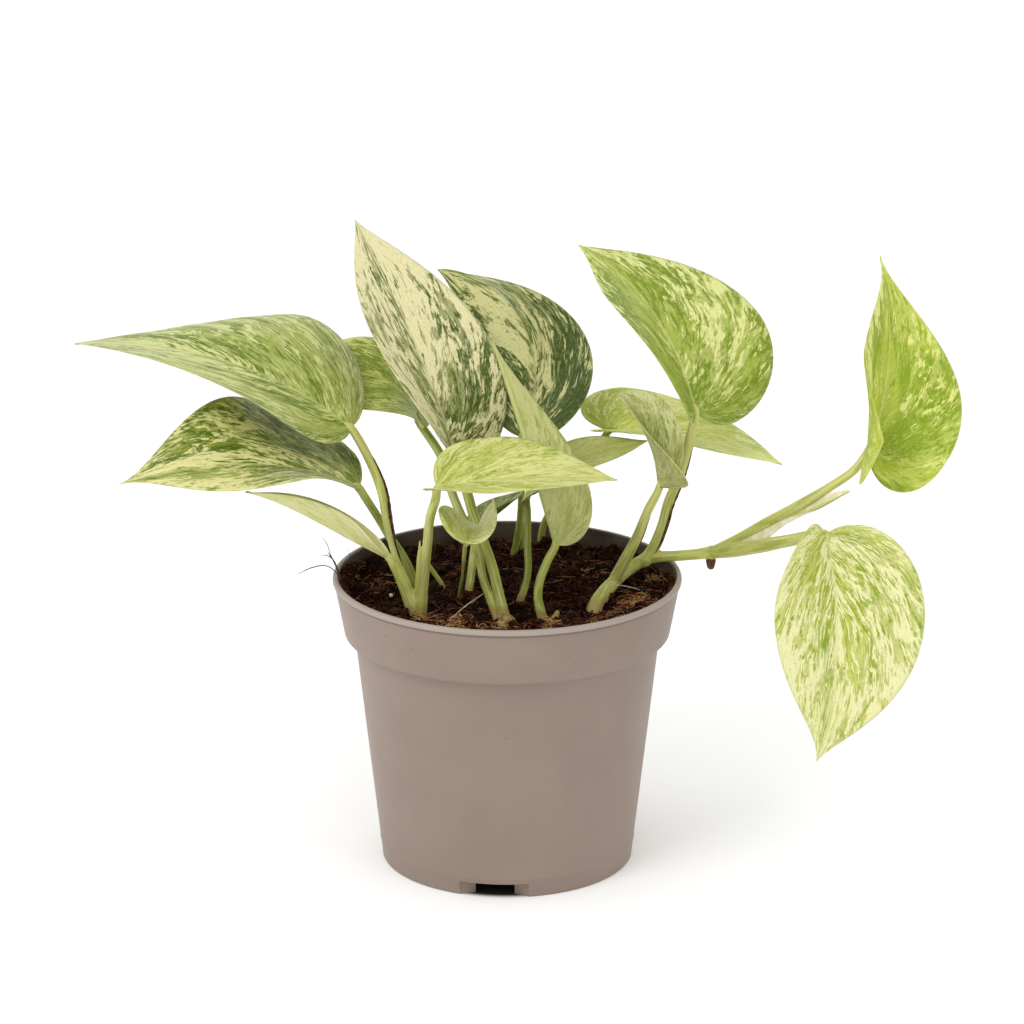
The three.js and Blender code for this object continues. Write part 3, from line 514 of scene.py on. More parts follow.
# Each cutting has shoots: the points of a stem or stalk and its thickness there (x, y, z,
# radius), in millimetres. carries names the leaf that a stalk ends in, and end its radius there.
stems = {
    "stem_left": dict(shoots=[
        dict(carries="leaf_front", end=1.5, stations=[
            (-30.5, -12, rootEnd, 2.6), (-30, -12, 92, 2.6), (-28.5, -14, 106, 2),
            (-27, -18, 118.5, 1.7), (-26, -22, 129, 1.6), (-24, -26, 137, 1.6)]),
        dict(carries="leaf_rolled", end=1.6, stations=[
            (-31, -12, rootEnd, 2.4), (-32, -12, 92, 2.6), (-35, -12, 102, 2.4),
            (-38, -13, 109, 2)]),
        dict(carries="leaf_far_left", end=1.5, stations=[
            (-33.5, -9, 96.5, 1.5), (-36, -6, 104.5, 1.5), (-38.5, -3, 111, 1.5),
            (-41, -1, 121, 1.6), (-43, 3, 131, 1.7), (-47.5, 7, 141.5, 1.6)]),
        dict(stations=[
            (-30.5, -13.5, 99, 1.2), (-30, -17, 111, 0.9), (-29.5, -19, 120, 0.4)]),
    ]),
    "stem_left_back": dict(shoots=[
        dict(carries="leaf_low_left", end=1.5, stations=[
            (-31, 5.5, rootEnd, 1.7), (-31, 5.5, 91.5, 1.7), (-33, 4.5, 100, 1.7),
            (-36, 3.5, 107, 1.7), (-39.5, 4, 112.5, 1.6), (-44.5, 3.5, 121.5, 1.5),
            (-48, -1, 129, 1.5)]),
    ]),
    "stem_knob": dict(knobs=[(-0.8, -20, 90, 4.3)], shoots=[
        dict(carries="leaf_tall_cream", end=1.6, stations=[
            (-0.5, -18, 90, 2.2), (-3, -14, 100, 1.9), (-5, -10, 107.5, 1.8), (-8, -5, 115, 1.8),
            (-11.5, 0, 123, 1.8), (-14, 4, 131, 1.8)]),
        dict(carries="leaf_back_left", end=1.5, stations=[
            (-2.6, -17.5, 90, 1.7), (-5.5, -13, 97, 1.7), (-8, -8, 102.5, 1.6),
            (-9.5, -2, 108.5, 1.6), (-11, 4, 113, 1.6), (-15.5, 12, 118.5, 1.6),
            (-19, 20, 124.5, 1.6), (-23, 30, 135, 1.6)]),
    ]),
    "stem_thin": dict(shoots=[
        dict(carries="leaf_small", end=0.8, stations=[
            (-16.5, 2.5, rootEnd, 0.9), (-16.5, 2.5, 91.5, 0.9), (-15, -8, 104, 0.8),
            (-14.5, -20, 115.5, 0.8)]),
    ]),
    "stem_middle": dict(shoots=[
        dict(carries="leaf_hidden", end=1.4, stations=[
            (-13.5, 5, rootEnd, 1.5), (-13.5, 5, 91.5, 1.5), (-12.5, 9, 98.5, 1.5),
            (-11.5, 13, 105.5, 1.5)]),
    ]),
    "stem_centre": dict(shoots=[
        dict(carries="leaf_turned_over", end=1.3, stations=[
            (4, -4.5, rootEnd, 1.5), (4, -4.5, 92, 1.5), (5.5, -3, 96.5, 1.4), (7, -1, 102, 1.4),
            (7, 2, 111.5, 1.3), (7, 6, 121, 1.3)]),
    ]),
    "stem_back": dict(shoots=[
        dict(carries="leaf_dark_back", end=1.3, stations=[
            (1.5, 38, rootEnd, 1.3), (1.5, 38, 91.5, 1.3), (3, 37, 100, 1.3),
            (4.5, 34, 110.5, 1.3), (5, 31, 122.5, 1.3)]),
        dict(stations=[
            (5.2, 41.5, rootEnd + 4, 0.9), (5.2, 41, 94, 0.9), (5, 37, 105, 0.9),
            (4.8, 33, 114.5, 0.9)]),
    ]),
    "stem_back_right": dict(shoots=[
        dict(carries="leaf_back_right", end=1.3, stations=[
            (9.5, 46, rootEnd, 1.3), (10.5, 50, 91.5, 1.3), (11.5, 49, 96, 1.3),
            (13.5, 46, 106.5, 1.3), (22, 44, 119, 1.3), (29, 42, 129, 1.3)]),
    ]),
    "stem_front": dict(knobs=[(15.5, -20, 89.5, 2.6)], shoots=[
        dict(carries="leaf_folded", end=1.4, stations=[
            (12, -20, rootEnd, 1.8), (12, -20, 92, 1.8), (10.5, -19, 99.5, 1.6),
            (11, -18, 105, 1.5), (13.5, -16, 111.5, 1.5)]),
        dict(stations=[
            (12, -20, 87.5, 1.8), (15, -20, 90, 2.3), (17, -19.5, 94.5, 1)]),
    ]),
    "stem_stub": dict(shoots=[
        dict(stations=[
            (-18.5, 8, rootEnd + 5, 0.9), (-21, 9, 92, 0.9), (-28.5, 12, 103, 0.9)]),
    ]),
    "stem_vine": dict(knobs=[(47.5, 12.5, 102.6, 2.6), (70.5, 8, 107, 2.5)], shoots=[
        dict(stations=[
            (29, -7, rootEnd, 2.8), (30, -6.5, 91.2, 3), (33.5, 0, 95.2, 2.7),
            (38.5, 7.5, 98, 2.3), (44, 12, 101, 2.3), (49, 13, 103.2, 2.1),
            (58.5, 11.5, 104.6, 1.9), (64.5, 10, 105.6, 1.9), (70.5, 8, 107, 2.2)]),
        dict(carries="leaf_curled", end=1.4, stations=[
            (36, 5, 96.5, 2), (40.5, 4, 105.5, 2), (44.5, 2, 114.5, 1.8), (48, 0, 124.5, 1.6)]),
        dict(carries="leaf_tall_right", end=1.6, stations=[
            (47.5, 13, 102.5, 2.1), (50.5, 13, 107, 2), (53.5, 12, 115.5, 1.8),
            (55.5, 10, 124.5, 1.8), (58.5, 8, 133, 1.7), (61, 5, 143, 1.7)]),
        dict(carries="leaf_vine_down", end=1.5, stations=[
            (70.5, 8, 107, 2.2), (78, 0, 110.5, 2.4), (86, -12, 116, 2.4), (95, -26, 122.5, 2.1)]),
        dict(carries="leaf_vine_up", end=1.4, stations=[
            (70.5, 8, 107, 2), (79, 2, 113.5, 2.1), (88, -8, 122.5, 2.1), (98.5, -20, 133, 1.9),
            (108, -28, 142, 1.6), (116, -32, 149.5, 1.5)]),
        dict(stations=[
            (91, -11.5, 124.5, 1), (103.5, -25, 133.5, 0.8), (114, -36, 143, 0.4)]),
        dict(stations=[
            (70.3, 8, 106, 1.4), (70.3, 7.8, 102.8, 1.3)]),
    ]),
}

stemMesh = dict(sides=20, samples=7, voxel=0.34, smoothing=5, ribs=6, ribDepth=0.05, reach=2.2,
                tipShare=0.55)


def smoothPath(stations, samples):  # a smooth curve through the stations, with the radius at each point
    points = [Vector(station[:3]) for station in stations]
    radii = [station[3] for station in stations]
    points = [2 * points[0] - points[1], *points, 2 * points[-1] - points[-2]]
    knots = [0.0]
    for a, b in zip(points, points[1:]):
        knots.append(knots[-1] + max((b - a).length, 1e-4) ** 0.5)
    path = []
    for i in range(1, len(points) - 2):
        p, k = points[i - 1:i + 3], knots[i - 1:i + 3]
        last = i == len(points) - 3
        for j in range(samples + (1 if last else 0)):
            t = mixed(k[1], k[2], j / samples)
            a = [p[n].lerp(p[n + 1], (t - k[n]) / (k[n + 1] - k[n])) for n in range(3)]
            b = [a[n].lerp(a[n + 1], (t - k[n]) / (k[n + 2] - k[n])) for n in range(2)]
            point = b[0].lerp(b[1], (t - k[1]) / (k[2] - k[1]))
            path.append((point, mixed(radii[i - 1], radii[i], smoothStep(j / samples, 0, 1))))
    return path


def framesAlong(path):  # which way it runs and two directions across, without a twist
    frames = []
    side = None
    for i in range(len(path)):
        ahead = path[min(i + 1, len(path) - 1)][0] - path[max(i - 1, 0)][0]
        ahead = ahead.normalized() if ahead.length > 1e-9 else Vector((0, 0, 1))
        if side is None:
            side = ahead.orthogonal().normalized()
        side = (side - ahead * side.dot(ahead)).normalized()
        frames.append((ahead, side, ahead.cross(side)))
    return frames


def tube(bm, path, sides, ribs=0, ribDepth=0.0):  # a round rod with rounded ends
    (start, startRadius), (end, endRadius) = path[0], path[-1]
    frames = framesAlong(path)
    caps = 3 if sides > 5 else 1
    rings = []
    for i in range(caps, 0, -1):
        turn = math.pi / 2 * i / caps
        back = frames[0][0] * startRadius * math.sin(turn)
        rings.append((start - back, startRadius * math.cos(turn) if i < caps else 0.0, frames[0]))
    rings += [(point, radius, ring) for (point, radius), ring in zip(path, frames)]
    for i in range(1, caps + 1):
        turn = math.pi / 2 * i / caps
        ahead = frames[-1][0] * endRadius * math.sin(turn)
        rings.append((end + ahead, endRadius * math.cos(turn) if i < caps else 0.0, frames[-1]))
    made = bmesh.ops.create_grid(bm, x_segments=sides, y_segments=len(rings) - 1, size=1)
    for vertex in made["verts"]:
        turn = (vertex.co.x + 1) * math.pi
        point, radius, (_, side, other) = rings[round((vertex.co.y + 1) / 2 * (len(rings) - 1))]
        radius *= 1 + ribDepth * math.cos(ribs * turn)
        vertex.co = point + radius * (side * math.cos(turn) + other * math.sin(turn))
    bmesh.ops.remove_doubles(bm, verts=made["verts"], dist=0.0005)


def closeUp(bm):
    bmesh.ops.dissolve_degenerate(bm, edges=bm.edges, dist=0.0002)
    bmesh.ops.recalc_face_normals(bm, faces=bm.faces)


def leafEnd(shoot):  # the stations of a shoot up into its leaf
    stations = list(shoot["stations"])
    if "carries" in shoot:
        stations.append((*leaves[shoot["carries"]]["base"], shoot["end"]))
    return stations


def buildStem(name, stem, finish):
    bm = bmesh.new()
    samplesAlong = []
    for shoot in stem["shoots"]:
        stations = leafEnd(shoot)
        if "carries" in shoot:  # a little way under the blade
            leaf = leaves[shoot["carries"]]
            under = Vector(leaf["base"]) + leafAhead(leaf) * stemMesh["reach"]
            stations.append((*under, shoot["end"] * stemMesh["tipShare"]))
        path = smoothPath(stations, stemMesh["samples"])
        tube(bm, path, stemMesh["sides"], stemMesh["ribs"], stemMesh["ribDepth"])
        run = random.random() * 50
        for (point, radius), (_, side, other) in zip(path, framesAlong(path)):
            run += radius * 0.7
            samplesAlong.append((point, side, other, run))
    for x, y, z, radius in stem.get("knobs", []):
        made = bmesh.ops.create_uvsphere(bm, u_segments=20, v_segments=12, radius=radius)
        bmesh.ops.translate(bm, verts=made["verts"], vec=(x, y, z))
    closeUp(bm)
    rough = scratch(name + "_rough", bm)
    remesh = rough.modifiers.new("remesh", "REMESH")
    remesh.mode = "VOXEL"
    remesh.voxel_size = stemMesh["voxel"]
    bm = applied(rough)
    for _ in range(stemMesh["smoothing"]):
        bmesh.ops.smooth_vert(bm, verts=bm.verts, factor=0.5,
                              use_axis_x=True, use_axis_y=True, use_axis_z=True)
    tree = KDTree(len(samplesAlong))
    for i, sample in enumerate(samplesAlong):
        tree.insert(sample[0], i)
    tree.balance()
    fibre = bm.verts.layers.float_vector.new("fibre")
    for vertex in bm.verts:
        point, side, other, run = samplesAlong[tree.find(vertex.co)[1]]
        offset = vertex.co - point
        vertex[fibre] = (offset.dot(side), offset.dot(other), run)
    return keep(name, bm, [finish], node=name)


# A stem is brown below oldLow and green above oldHigh, and a cut end has its bark's two browns.
# The greens are painted lighter than the stems' own colour: painted light that lifts the shade falling on
# them.
stemColours = dict(green=rgb(178, 184, 92), pale=rgb(222, 218, 158), deep=rgb(146, 158, 66),
                   old=rgb(158, 130, 84), oldLow=92, oldHigh=100)
vineColours = dict(green=rgb(202, 204, 116), pale=rgb(238, 230, 174), deep=rgb(176, 184, 88),
                   old=rgb(176, 152, 100), oldLow=92, oldHigh=99)
barkColours = dict(dark=rgb(96, 72, 40), light=rgb(184, 158, 104), fade=1.4, ragged=2.4)
# How fine the marks are, across a stem and along it, and how strongly each shows.
stemMarks = dict(streak=(1.3, 0.05), patch=(0.5, 0.11), speck=1.9, bark=0.8, pale=0.6, specks=0.7,
                 old=0.75, cut=0.9)


def stemFinish(name, colours, cut=None):
    finish = Finish(name, Roughness=0.45)
    u, v, run = finish.parts(finish.attribute("fibre"))
    height = finish.parts(finish.place())[2]
    across, along = stemMarks["streak"]
    streak = finish.noise(finish.vector(u * across, v * across, run * along), 1.0, 4, 0.65)
    across, along = stemMarks["patch"]
    patch = finish.noise(finish.vector(u * across, v * across, run * along), 1.0, 1)
    colour = finish.mix(patch.step(0.42, 0.62), colours["green"], colours["deep"])
    colour = finish.mix(streak.step(0.46, 0.66) * stemMarks["pale"], colour, colours["pale"])
    speck = finish.noise(finish.place(), stemMarks["speck"], 2, 0.7).step(0.66, 0.72)
    colour = finish.mix(speck * stemMarks["specks"], colour, colours["old"])
    low = 1.0 - height.step(colours["oldLow"], colours["oldHigh"])
    ragged = (low + (streak - 0.5) * 0.9).step(0.35, 0.75)
    colour = finish.mix(ragged * stemMarks["old"], colour, colours["old"])
    if cut:  # the brown end of an old stem, at this place and this wide
        ends = [finish.place(), cut["at"]]
        away = finish.add("ShaderNodeVectorMath", dict(operation="DISTANCE"), ends, 1)
        rough = finish.noise(finish.place(), stemMarks["bark"], 3, 0.7)
        bark = finish.mix(rough.step(0.4, 0.62), barkColours["dark"], barkColours["light"])
        away = away + (rough - 0.5) * barkColours["ragged"]
        onCut = 1.0 - away.step(cut["wide"], cut["wide"] + barkColours["fade"])
        colour = finish.mix(onCut * stemMarks["cut"], colour, bark)
    finish.set(Base_Color=colour, Normal=finish.bump(streak + speck * 0.3, 0.35, 0.2))
    return finish


stemSkin = stemFinish("stem_skin", stemColours)
vineSkin = stemFinish("vine_skin", vineColours)
stemSkins = {
    "stem_vine": vineSkin,
    "stem_left": vineSkin,
    "stem_knob": stemFinish("knob_skin", stemColours, dict(at=(-0.8, -21.5, 91), wide=3.2)),
    "stem_front": stemFinish("bud_skin", stemColours, dict(at=(15.5, -21, 88), wide=1.6)),
}
for name, stem in stems.items():
    buildStem(name, stem, stemSkins.get(name, stemSkin))
print("stems:", len(stems))


# ---- pot

potShape = dict(notches=3, notchTurn=-96, notchOuterWidth=23.6, notchInnerWidth=13.4, cheekDepth=4,
                drainHoles=8, drainHoleRadius=3.5, drainRingRadius=28, bandTaper=3.8, wallStep=7.5,
                lipWidth=1.7, sides=192, mouldLine=6.7, mouldDepth=0.14, sharp=32)
bandFootRadius = rimRadius - potShape["bandTaper"]
wallTopRadius = rimRadius - potShape["wallStep"]


def insideRadius(z):  # the straight wall, and above it the band
    if z < bandFoot:
        return mixed(baseRadius, wallTopRadius, z / bandFoot) - pot["wall"]
    share = (z - bandFoot) / pot["bandHeight"]
    return mixed(bandFootRadius, rimRadius - 0.6, share) - pot["wall"]


def outsideRadius(z):
    return mixed(baseRadius, wallTopRadius, z / (bandFoot - 1.8))


def turned(bm, profile, sides):
    verts = [bm.verts.new((radius, 0, z)) for radius, z in profile]
    edges = [bm.edges.new(pair) for pair in zip(verts, verts[1:])]
    bmesh.ops.spin(bm, geom=verts + edges, cent=(0, 0, 0), axis=(0, 0, 1), dvec=(0, 0, 0),
                   angle=2 * math.pi, steps=sides, use_merge=True, use_duplicate=False)
    bmesh.ops.remove_doubles(bm, verts=bm.verts, dist=0.001)
    bmesh.ops.recalc_face_normals(bm, faces=bm.faces)


def standing(name, plan, low, high, turn):  # a flat plan shape raised to a block and turned about Z
    bm = bmesh.new()
    face = bm.faces.new([bm.verts.new((x, y, low)) for x, y in plan])
    grown = bmesh.ops.extrude_face_region(bm, geom=[face])
    top = [item for item in grown["geom"] if isinstance(item, bmesh.types.BMVert)]
    bmesh.ops.translate(bm, verts=top, vec=(0, 0, high - low))
    bmesh.ops.recalc_face_normals(bm, faces=bm.faces)
    bmesh.ops.rotate(bm, verts=bm.verts, cent=(0, 0, 0), matrix=Matrix.Rotation(turn, 3, "Z"))
    return scratch(name, bm)


def potProfile():  # from the middle of the underside out, up to the lip and back to the floor
    foot, top, line = pot["footHeight"], pot["height"], potShape["mouldLine"]
    floorTop = foot + pot["wall"]
    return [
        (0, foot), (baseRadius - 2.7, foot), (baseRadius - 2.45, foot - 0.15), (baseRadius - 2.2, 0.25),
        (baseRadius - 1.95, 0), (baseRadius - 0.3, 0), (outsideRadius(0.3), 0.3),
        (outsideRadius(line - 0.5), line - 0.5),
        (outsideRadius(line - 0.2) + potShape["mouldDepth"], line - 0.2),
        (outsideRadius(line + 0.2) + potShape["mouldDepth"], line + 0.2),
        (outsideRadius(line + 0.5), line + 0.5),
        *[(outsideRadius(z), z) for z in range(15, int(bandFoot) - 6, 10)],
        (wallTopRadius, bandFoot - 1.8), (wallTopRadius + 0.15, bandFoot - 1.3),
        (wallTopRadius + 0.6, bandFoot - 0.9), (bandFootRadius - 1.1, bandFoot - 0.6),
        (bandFootRadius - 0.45, bandFoot - 0.25), (bandFootRadius - 0.12, bandFoot + 0.2),
        (bandFootRadius, bandFoot + 0.8), (rimRadius - 0.78, top - 2.9), (rimRadius - 0.8, top - 2.3),
        (rimRadius - 0.62, top - 2.05), (rimRadius - 0.1, top - 1.75), (rimRadius, top - 1.3),
        (rimRadius - 0.04, top - 0.8), (rimRadius - 0.25, top - 0.3), (rimRadius - 0.6, top - 0.05),
        (rimRadius - 1.1, top), (rimRadius - potShape["lipWidth"] + 0.1, top - 0.05),
        (insideRadius(top - 0.5), top - 0.5), (insideRadius(top - 0.9), top - 0.9),
        (insideRadius(bandFoot + 1.2), bandFoot + 1.2), (insideRadius(bandFoot - 1.5), bandFoot - 1.5),
        (insideRadius(floorTop), floorTop), (0, floorTop)]


def potCutters():  # blocks for the notches' cheeks, and then what cuts the notches and drain holes
    foot, wall = pot["footHeight"], pot["wall"]
    outer, mouth, throat = baseRadius + 2, potShape["notchOuterWidth"] / 2, potShape["notchInnerWidth"] / 2
    deep = baseRadius - potShape["cheekDepth"]
    helpers = []
    for i in range(potShape["notches"]):
        turn = math.radians(potShape["notchTurn"] + 360 * i / potShape["notches"])
        block = [(baseRadius - 2, -mouth - wall), (baseRadius - 2, mouth + wall),
                 (deep, throat + wall), (deep, -throat - wall)]
        opening = [(outer, -mouth), (outer, mouth), (baseRadius - 2, mouth), (deep, throat),
                   (deep - 1.5, throat), (deep - 1.5, -throat), (deep, -throat), (baseRadius - 2, -mouth)]
        helpers.append((standing("cheeks%d" % i, block, 0.02, foot + 0.2, turn), "UNION"))
        helpers.append((standing("notch%d" % i, opening, -1, foot, turn), "DIFFERENCE"))
    for i in range(potShape["drainHoles"]):
        turn = (i + 0.5) * 2 * math.pi / potShape["drainHoles"]
        bm = bmesh.new()
        place = Matrix.Translation((potShape["drainRingRadius"] * math.cos(turn),
                                    potShape["drainRingRadius"] * math.sin(turn), foot))
        bmesh.ops.create_cone(bm, cap_ends=True, segments=32, radius1=potShape["drainHoleRadius"],
                              radius2=potShape["drainHoleRadius"], depth=8, matrix=place)
        helpers.append((scratch("drain%d" % i, bm), "DIFFERENCE"))
    return sorted(helpers, key=lambda pair: pair[1] != "UNION")


def buildPot(finish):
    bm = bmesh.new()
    turned(bm, potProfile(), potShape["sides"])
    body = scratch("pot_body", bm)
    cutters = potCutters()
    for helper, operation in cutters:
        cut = body.modifiers.new("cut", "BOOLEAN")
        cut.object = helper
        cut.operation = operation
        cut.solver = "EXACT"
    bm = applied(body, [helper for helper, _ in cutters])
    bmesh.ops.remove_doubles(bm, verts=bm.verts, dist=0.002)
    piece = keep("pot_shell", bm, [finish], node="pot")
    piece.data.set_sharp_from_angle(angle=math.radians(potShape["sharp"]))
    return piece


# The lightest colour is a painted highlight for the top of the rim, and the specks' colour also paints the
# shade in the groove under it.
potColours = dict(body=rgb(149, 131, 119), light=rgb(156, 138, 125), dark=rgb(141, 123, 111),
                  speck=rgb(84, 72, 62), inside=rgb(92, 78, 66), insideDarker=rgb(62, 46, 36),
                  lip=rgb(196, 186, 176))
# How fine the plastic's marks are, and how strongly each shows; the lighter top of the rim is a painted
# highlight and the dark line under it painted shade in the groove.
potMarks = dict(cloud=0.035, speck=0.9, fine=2.2, grain=2.4, scuff=(0.2, 0.2, 1.6), even=0.72,
                specks=0.7, fineSpecks=0.3, lip=0.4, groove=0.4, gloss=0.47, glossSpread=0.25)


def potFinish(colours):
    finish = Finish("pot_plastic", Roughness=0.5, Specular_IOR_Level=0.5)
    place = finish.place()
    cloud = finish.noise(place, potMarks["cloud"], 3, 0.55)
    colour = finish.mix(cloud.step(0.35, 0.65), colours["dark"], colours["light"])
    colour = finish.mix(potMarks["even"], colour, colours["body"])
    speck = finish.noise(place, potMarks["speck"], 1, 0.4).step(0.8, 0.815) * potMarks["specks"]
    fine = finish.noise(place, potMarks["fine"], 1, 0.4).step(0.79, 0.81) * potMarks["fineSpecks"]
    colour = finish.mix(speck + fine, colour, colours["speck"])
    x, y, z = finish.parts(place)
    radius = (x * x + y * y) ** 0.5
    wall = (z - bandFoot) * ((rimRadius - 0.6 - bandFootRadius) / pot["bandHeight"]) + bandFootRadius
    # The inner wall of the band above the soil is painted darker, in clouds of two dark browns.
    inside = (1.0 - (radius - wall).step(-1.2, -0.7)) * z.step(bandFoot + 2, bandFoot + 3)
    insideColour = finish.mix(cloud.step(0.4, 0.6), colours["inside"], colours["insideDarker"])
    colour = finish.mix(inside, colour, insideColour)
    # Painted highlight: the top of the rim is painted lighter.
    lip = z.step(pot["height"] - 1.9, pot["height"] - 1.5) * (1.0 - inside)
    # Painted shade: a dark line in the groove under the rim, in the specks' colour.
    groove = z.step(pot["height"] - 2.9, pot["height"] - 2.3) * (1.0 - lip) * (1.0 - inside)
    colour = finish.mix(groove * potMarks["groove"], colour, colours["speck"])
    colour = finish.mix(lip * potMarks["lip"], colour, colours["lip"])
    grain = finish.noise(place, potMarks["grain"], 2, 0.6)
    scuff = finish.noise(finish.stretched(place, *potMarks["scuff"]), 1.0, 3, 0.7)
    finish.set(Base_Color=colour, Roughness=(scuff - 0.5) * potMarks["glossSpread"] + potMarks["gloss"],
               Normal=finish.bump(grain * 0.7 + scuff * 0.3, 0.12, 0.12))
    return finish


potPlastic = potFinish(potColours)
buildPot(potPlastic)
print("pot")


# ---- soil

soilShape = dict(cells=230, skirt=0.35, lumps=2.3, grit=0.7, edgeDip=0.8, top=0.1, bank=3.4)
soilReach = 0.97  # how far out loose soil lies, as a share of the radius inside the pot
soilWave = dict(broad=0.8, across=0.23, depth=0.19, fine=0.5, fineAcross=0.51, fineDepth=0.44)
soilDip = dict(x=-4, y=-20, depth=3.4, halfWidth=36, halfDepth=18)  # where the cuttings stand
footDip = dict(x=34, y=-11, depth=2.2, halfWidth=7)  # so that the foot of the vine lies on the soil
soilBack = dict(rise=3.6, start=-5, end=50)  # it lies higher behind them


def soilRelief(x, y):  # the soil's height over its level, in millimetres
    point = Vector((x, y, 0))
    radius = point.length / insideRadius(soilTop)
    broad = soilWave["broad"] * math.sin(x * soilWave["across"] + 1) * math.cos(y * soilWave["depth"])
    fine = soilWave["fine"] * math.sin(x * soilWave["fineAcross"] - y * soilWave["fineDepth"])
    lumps = noise.fractal(point * 0.12, 0.9, 2.1, 4) * soilShape["lumps"]
    grit = noise.fractal(point * 0.75 + Vector((9, 4, 2)), 0.8, 2.2, 3) * soilShape["grit"]
    dip = soilDip["depth"] * math.exp(-((x - soilDip["x"]) / soilDip["halfWidth"]) ** 2
                                      - ((y - soilDip["y"]) / soilDip["halfDepth"]) ** 2)
    bank = soilShape["bank"] * (math.hypot(x, y) / rimRadius) ** 3 * (x / rimRadius) ** 2
    away = ((x - footDip["x"]) ** 2 + (y - footDip["y"]) ** 2) / footDip["halfWidth"] ** 2
    foot = footDip["depth"] * math.exp(-away)
    edge = soilShape["edgeDip"] * smoothStep(radius, 0.9, 1.0)
    back = soilBack["rise"] * smoothStep(y, soilBack["start"], soilBack["end"])
    return soilShape["top"] + (broad + fine) + back + lumps + grit + bank - dip - foot - edge


def buildSoil(finish):
    bm = bmesh.new()
    bmesh.ops.create_grid(bm, x_segments=soilShape["cells"], y_segments=soilShape["cells"], size=1)
    outer = insideRadius(soilTop - 2) - soilShape["skirt"]
    for vertex in bm.verts:
        x, y = vertex.co.x, vertex.co.y
        x, y = x * math.sqrt(1 - y * y / 2) * outer, y * math.sqrt(1 - x * x / 2) * outer
        vertex.co = (x, y, soilTop + soilRelief(x, y))
    levels = [bandFoot + 1.5, bandFoot - 1.2, bandFoot * 0.5, pot["footHeight"] + pot["wall"] + 0.4]
    for level in levels:
        edges = [edge for edge in bm.edges if edge.is_boundary]
        grown = bmesh.ops.extrude_edge_only(bm, edges=edges)
        for vertex in [item for item in grown["geom"] if isinstance(item, bmesh.types.BMVert)]:
            radius = math.hypot(vertex.co.x, vertex.co.y)
            share = (insideRadius(level) - soilShape["skirt"]) / radius
            vertex.co = (vertex.co.x * share, vertex.co.y * share, level)
    rim = [edge for edge in bm.edges if edge.is_boundary]
    bmesh.ops.edgeloop_fill(bm, edges=rim)
    bmesh.ops.recalc_face_normals(bm, faces=bm.faces)
    return keep("soil_bed", bm, [finish], node="soil")


def onSoil():  # a random place on the soil
    turn, radius = random.uniform(0, 2 * math.pi), math.sqrt(random.random()) * soilReach
    outer = insideRadius(soilTop) - 0.6
    x, y = outer * radius * math.cos(turn), outer * radius * math.sin(turn)
    return Vector((x, y, soilTop + soilRelief(x, y)))


def buildCrumbs(name, count, low, high, finish):
    bm = bmesh.new()
    for _ in range(count):
        where = onSoil()
        size = random.uniform(low, high) * random.uniform(0.5, 1)
        turn = Matrix.Rotation(random.uniform(0, 6), 4,
                               Vector((random.random() - 0.5, random.random() - 0.5, 0.4)))
        stretch = Matrix.Diagonal((random.uniform(0.6, 1.5), random.uniform(0.5, 1),
                                   random.uniform(0.4, 0.8), 1))
        place = Matrix.Translation(where + Vector((0, 0, size * 0.15))) @ turn @ stretch
        made = bmesh.ops.create_icosphere(bm, subdivisions=1, radius=size, matrix=place)
        for vertex in made["verts"]:
            vertex.co += Vector([random.uniform(-1, 1) for _ in range(3)]) * size * 0.22
    return keep(name, bm, [finish])


strandPieces = 5  # of a fibre's length


def strandPath(start, heading, length, bow, climb, thickness):  # a bent fibre, thin at its ends
    ahead = Vector((math.cos(heading), math.sin(heading), climb))
    side = Vector((-math.sin(heading), math.cos(heading), 0))
    path = []
    for i in range(strandPieces + 1):
        share = i / strandPieces
        point = start + ahead * length * share + side * bow * math.sin(math.pi * share)
        point.z += abs(bow) * 0.35 * math.sin(math.pi * share) * random.uniform(0.6, 1.2)
        path.append((point, thickness * (0.45 + 0.55 * math.sin(math.pi * share))))
    return path


def buildFibres(name, count, longest, thickness, finish):
    bm = bmesh.new()
    for _ in range(count):
        start = onSoil()
        length = longest * random.uniform(0.25, 1)
        heading = random.uniform(0, 2 * math.pi)
        end = start + Vector((math.cos(heading), math.sin(heading), 0)) * length
        if math.hypot(end.x, end.y) > insideRadius(soilTop) - 1.2:  # it lies the other way, inside the pot
            heading += math.pi
        bow = random.uniform(-0.25, 0.25) * length
        climb = random.uniform(-0.1, 0.25) * random.random()
        path = strandPath(start, heading, length, bow, climb, thickness * random.uniform(0.5, 1.1))
        tube(bm, path, 3)
    return keep(name, bm, [finish])


def buildTufts(name, tufts, longest, thickness, finish):  # tangles of coir at these places
    bm = bmesh.new()
    for x, y, spread, count in tufts:
        for _ in range(count):
            px, py = random.gauss(x, spread * 0.5), random.gauss(y, spread * 0.5)
            if math.hypot(px, py) > insideRadius(soilTop) - 3:
                continue
            start = Vector((px, py, soilTop + soilRelief(px, py) + random.uniform(-0.2, 1.4)))
            length = longest * random.uniform(0.2, 1)
            path = strandPath(start, random.uniform(0, 6.28), length, random.uniform(-0.5, 0.5) * length,
                              random.uniform(-0.15, 0.3), thickness * random.uniform(0.5, 1.2))
            if math.hypot(path[-1][0].x, path[-1][0].y) < insideRadius(soilTop) - 1.5:
                tube(bm, path, 3)
    return keep(name, bm, [finish])


# How fine the marks on soil and on fibres are.
earthMarks = dict(crumb=0.9, patch=0.09, thread=(0.5, 3.2, 1.2), strand=0.3)


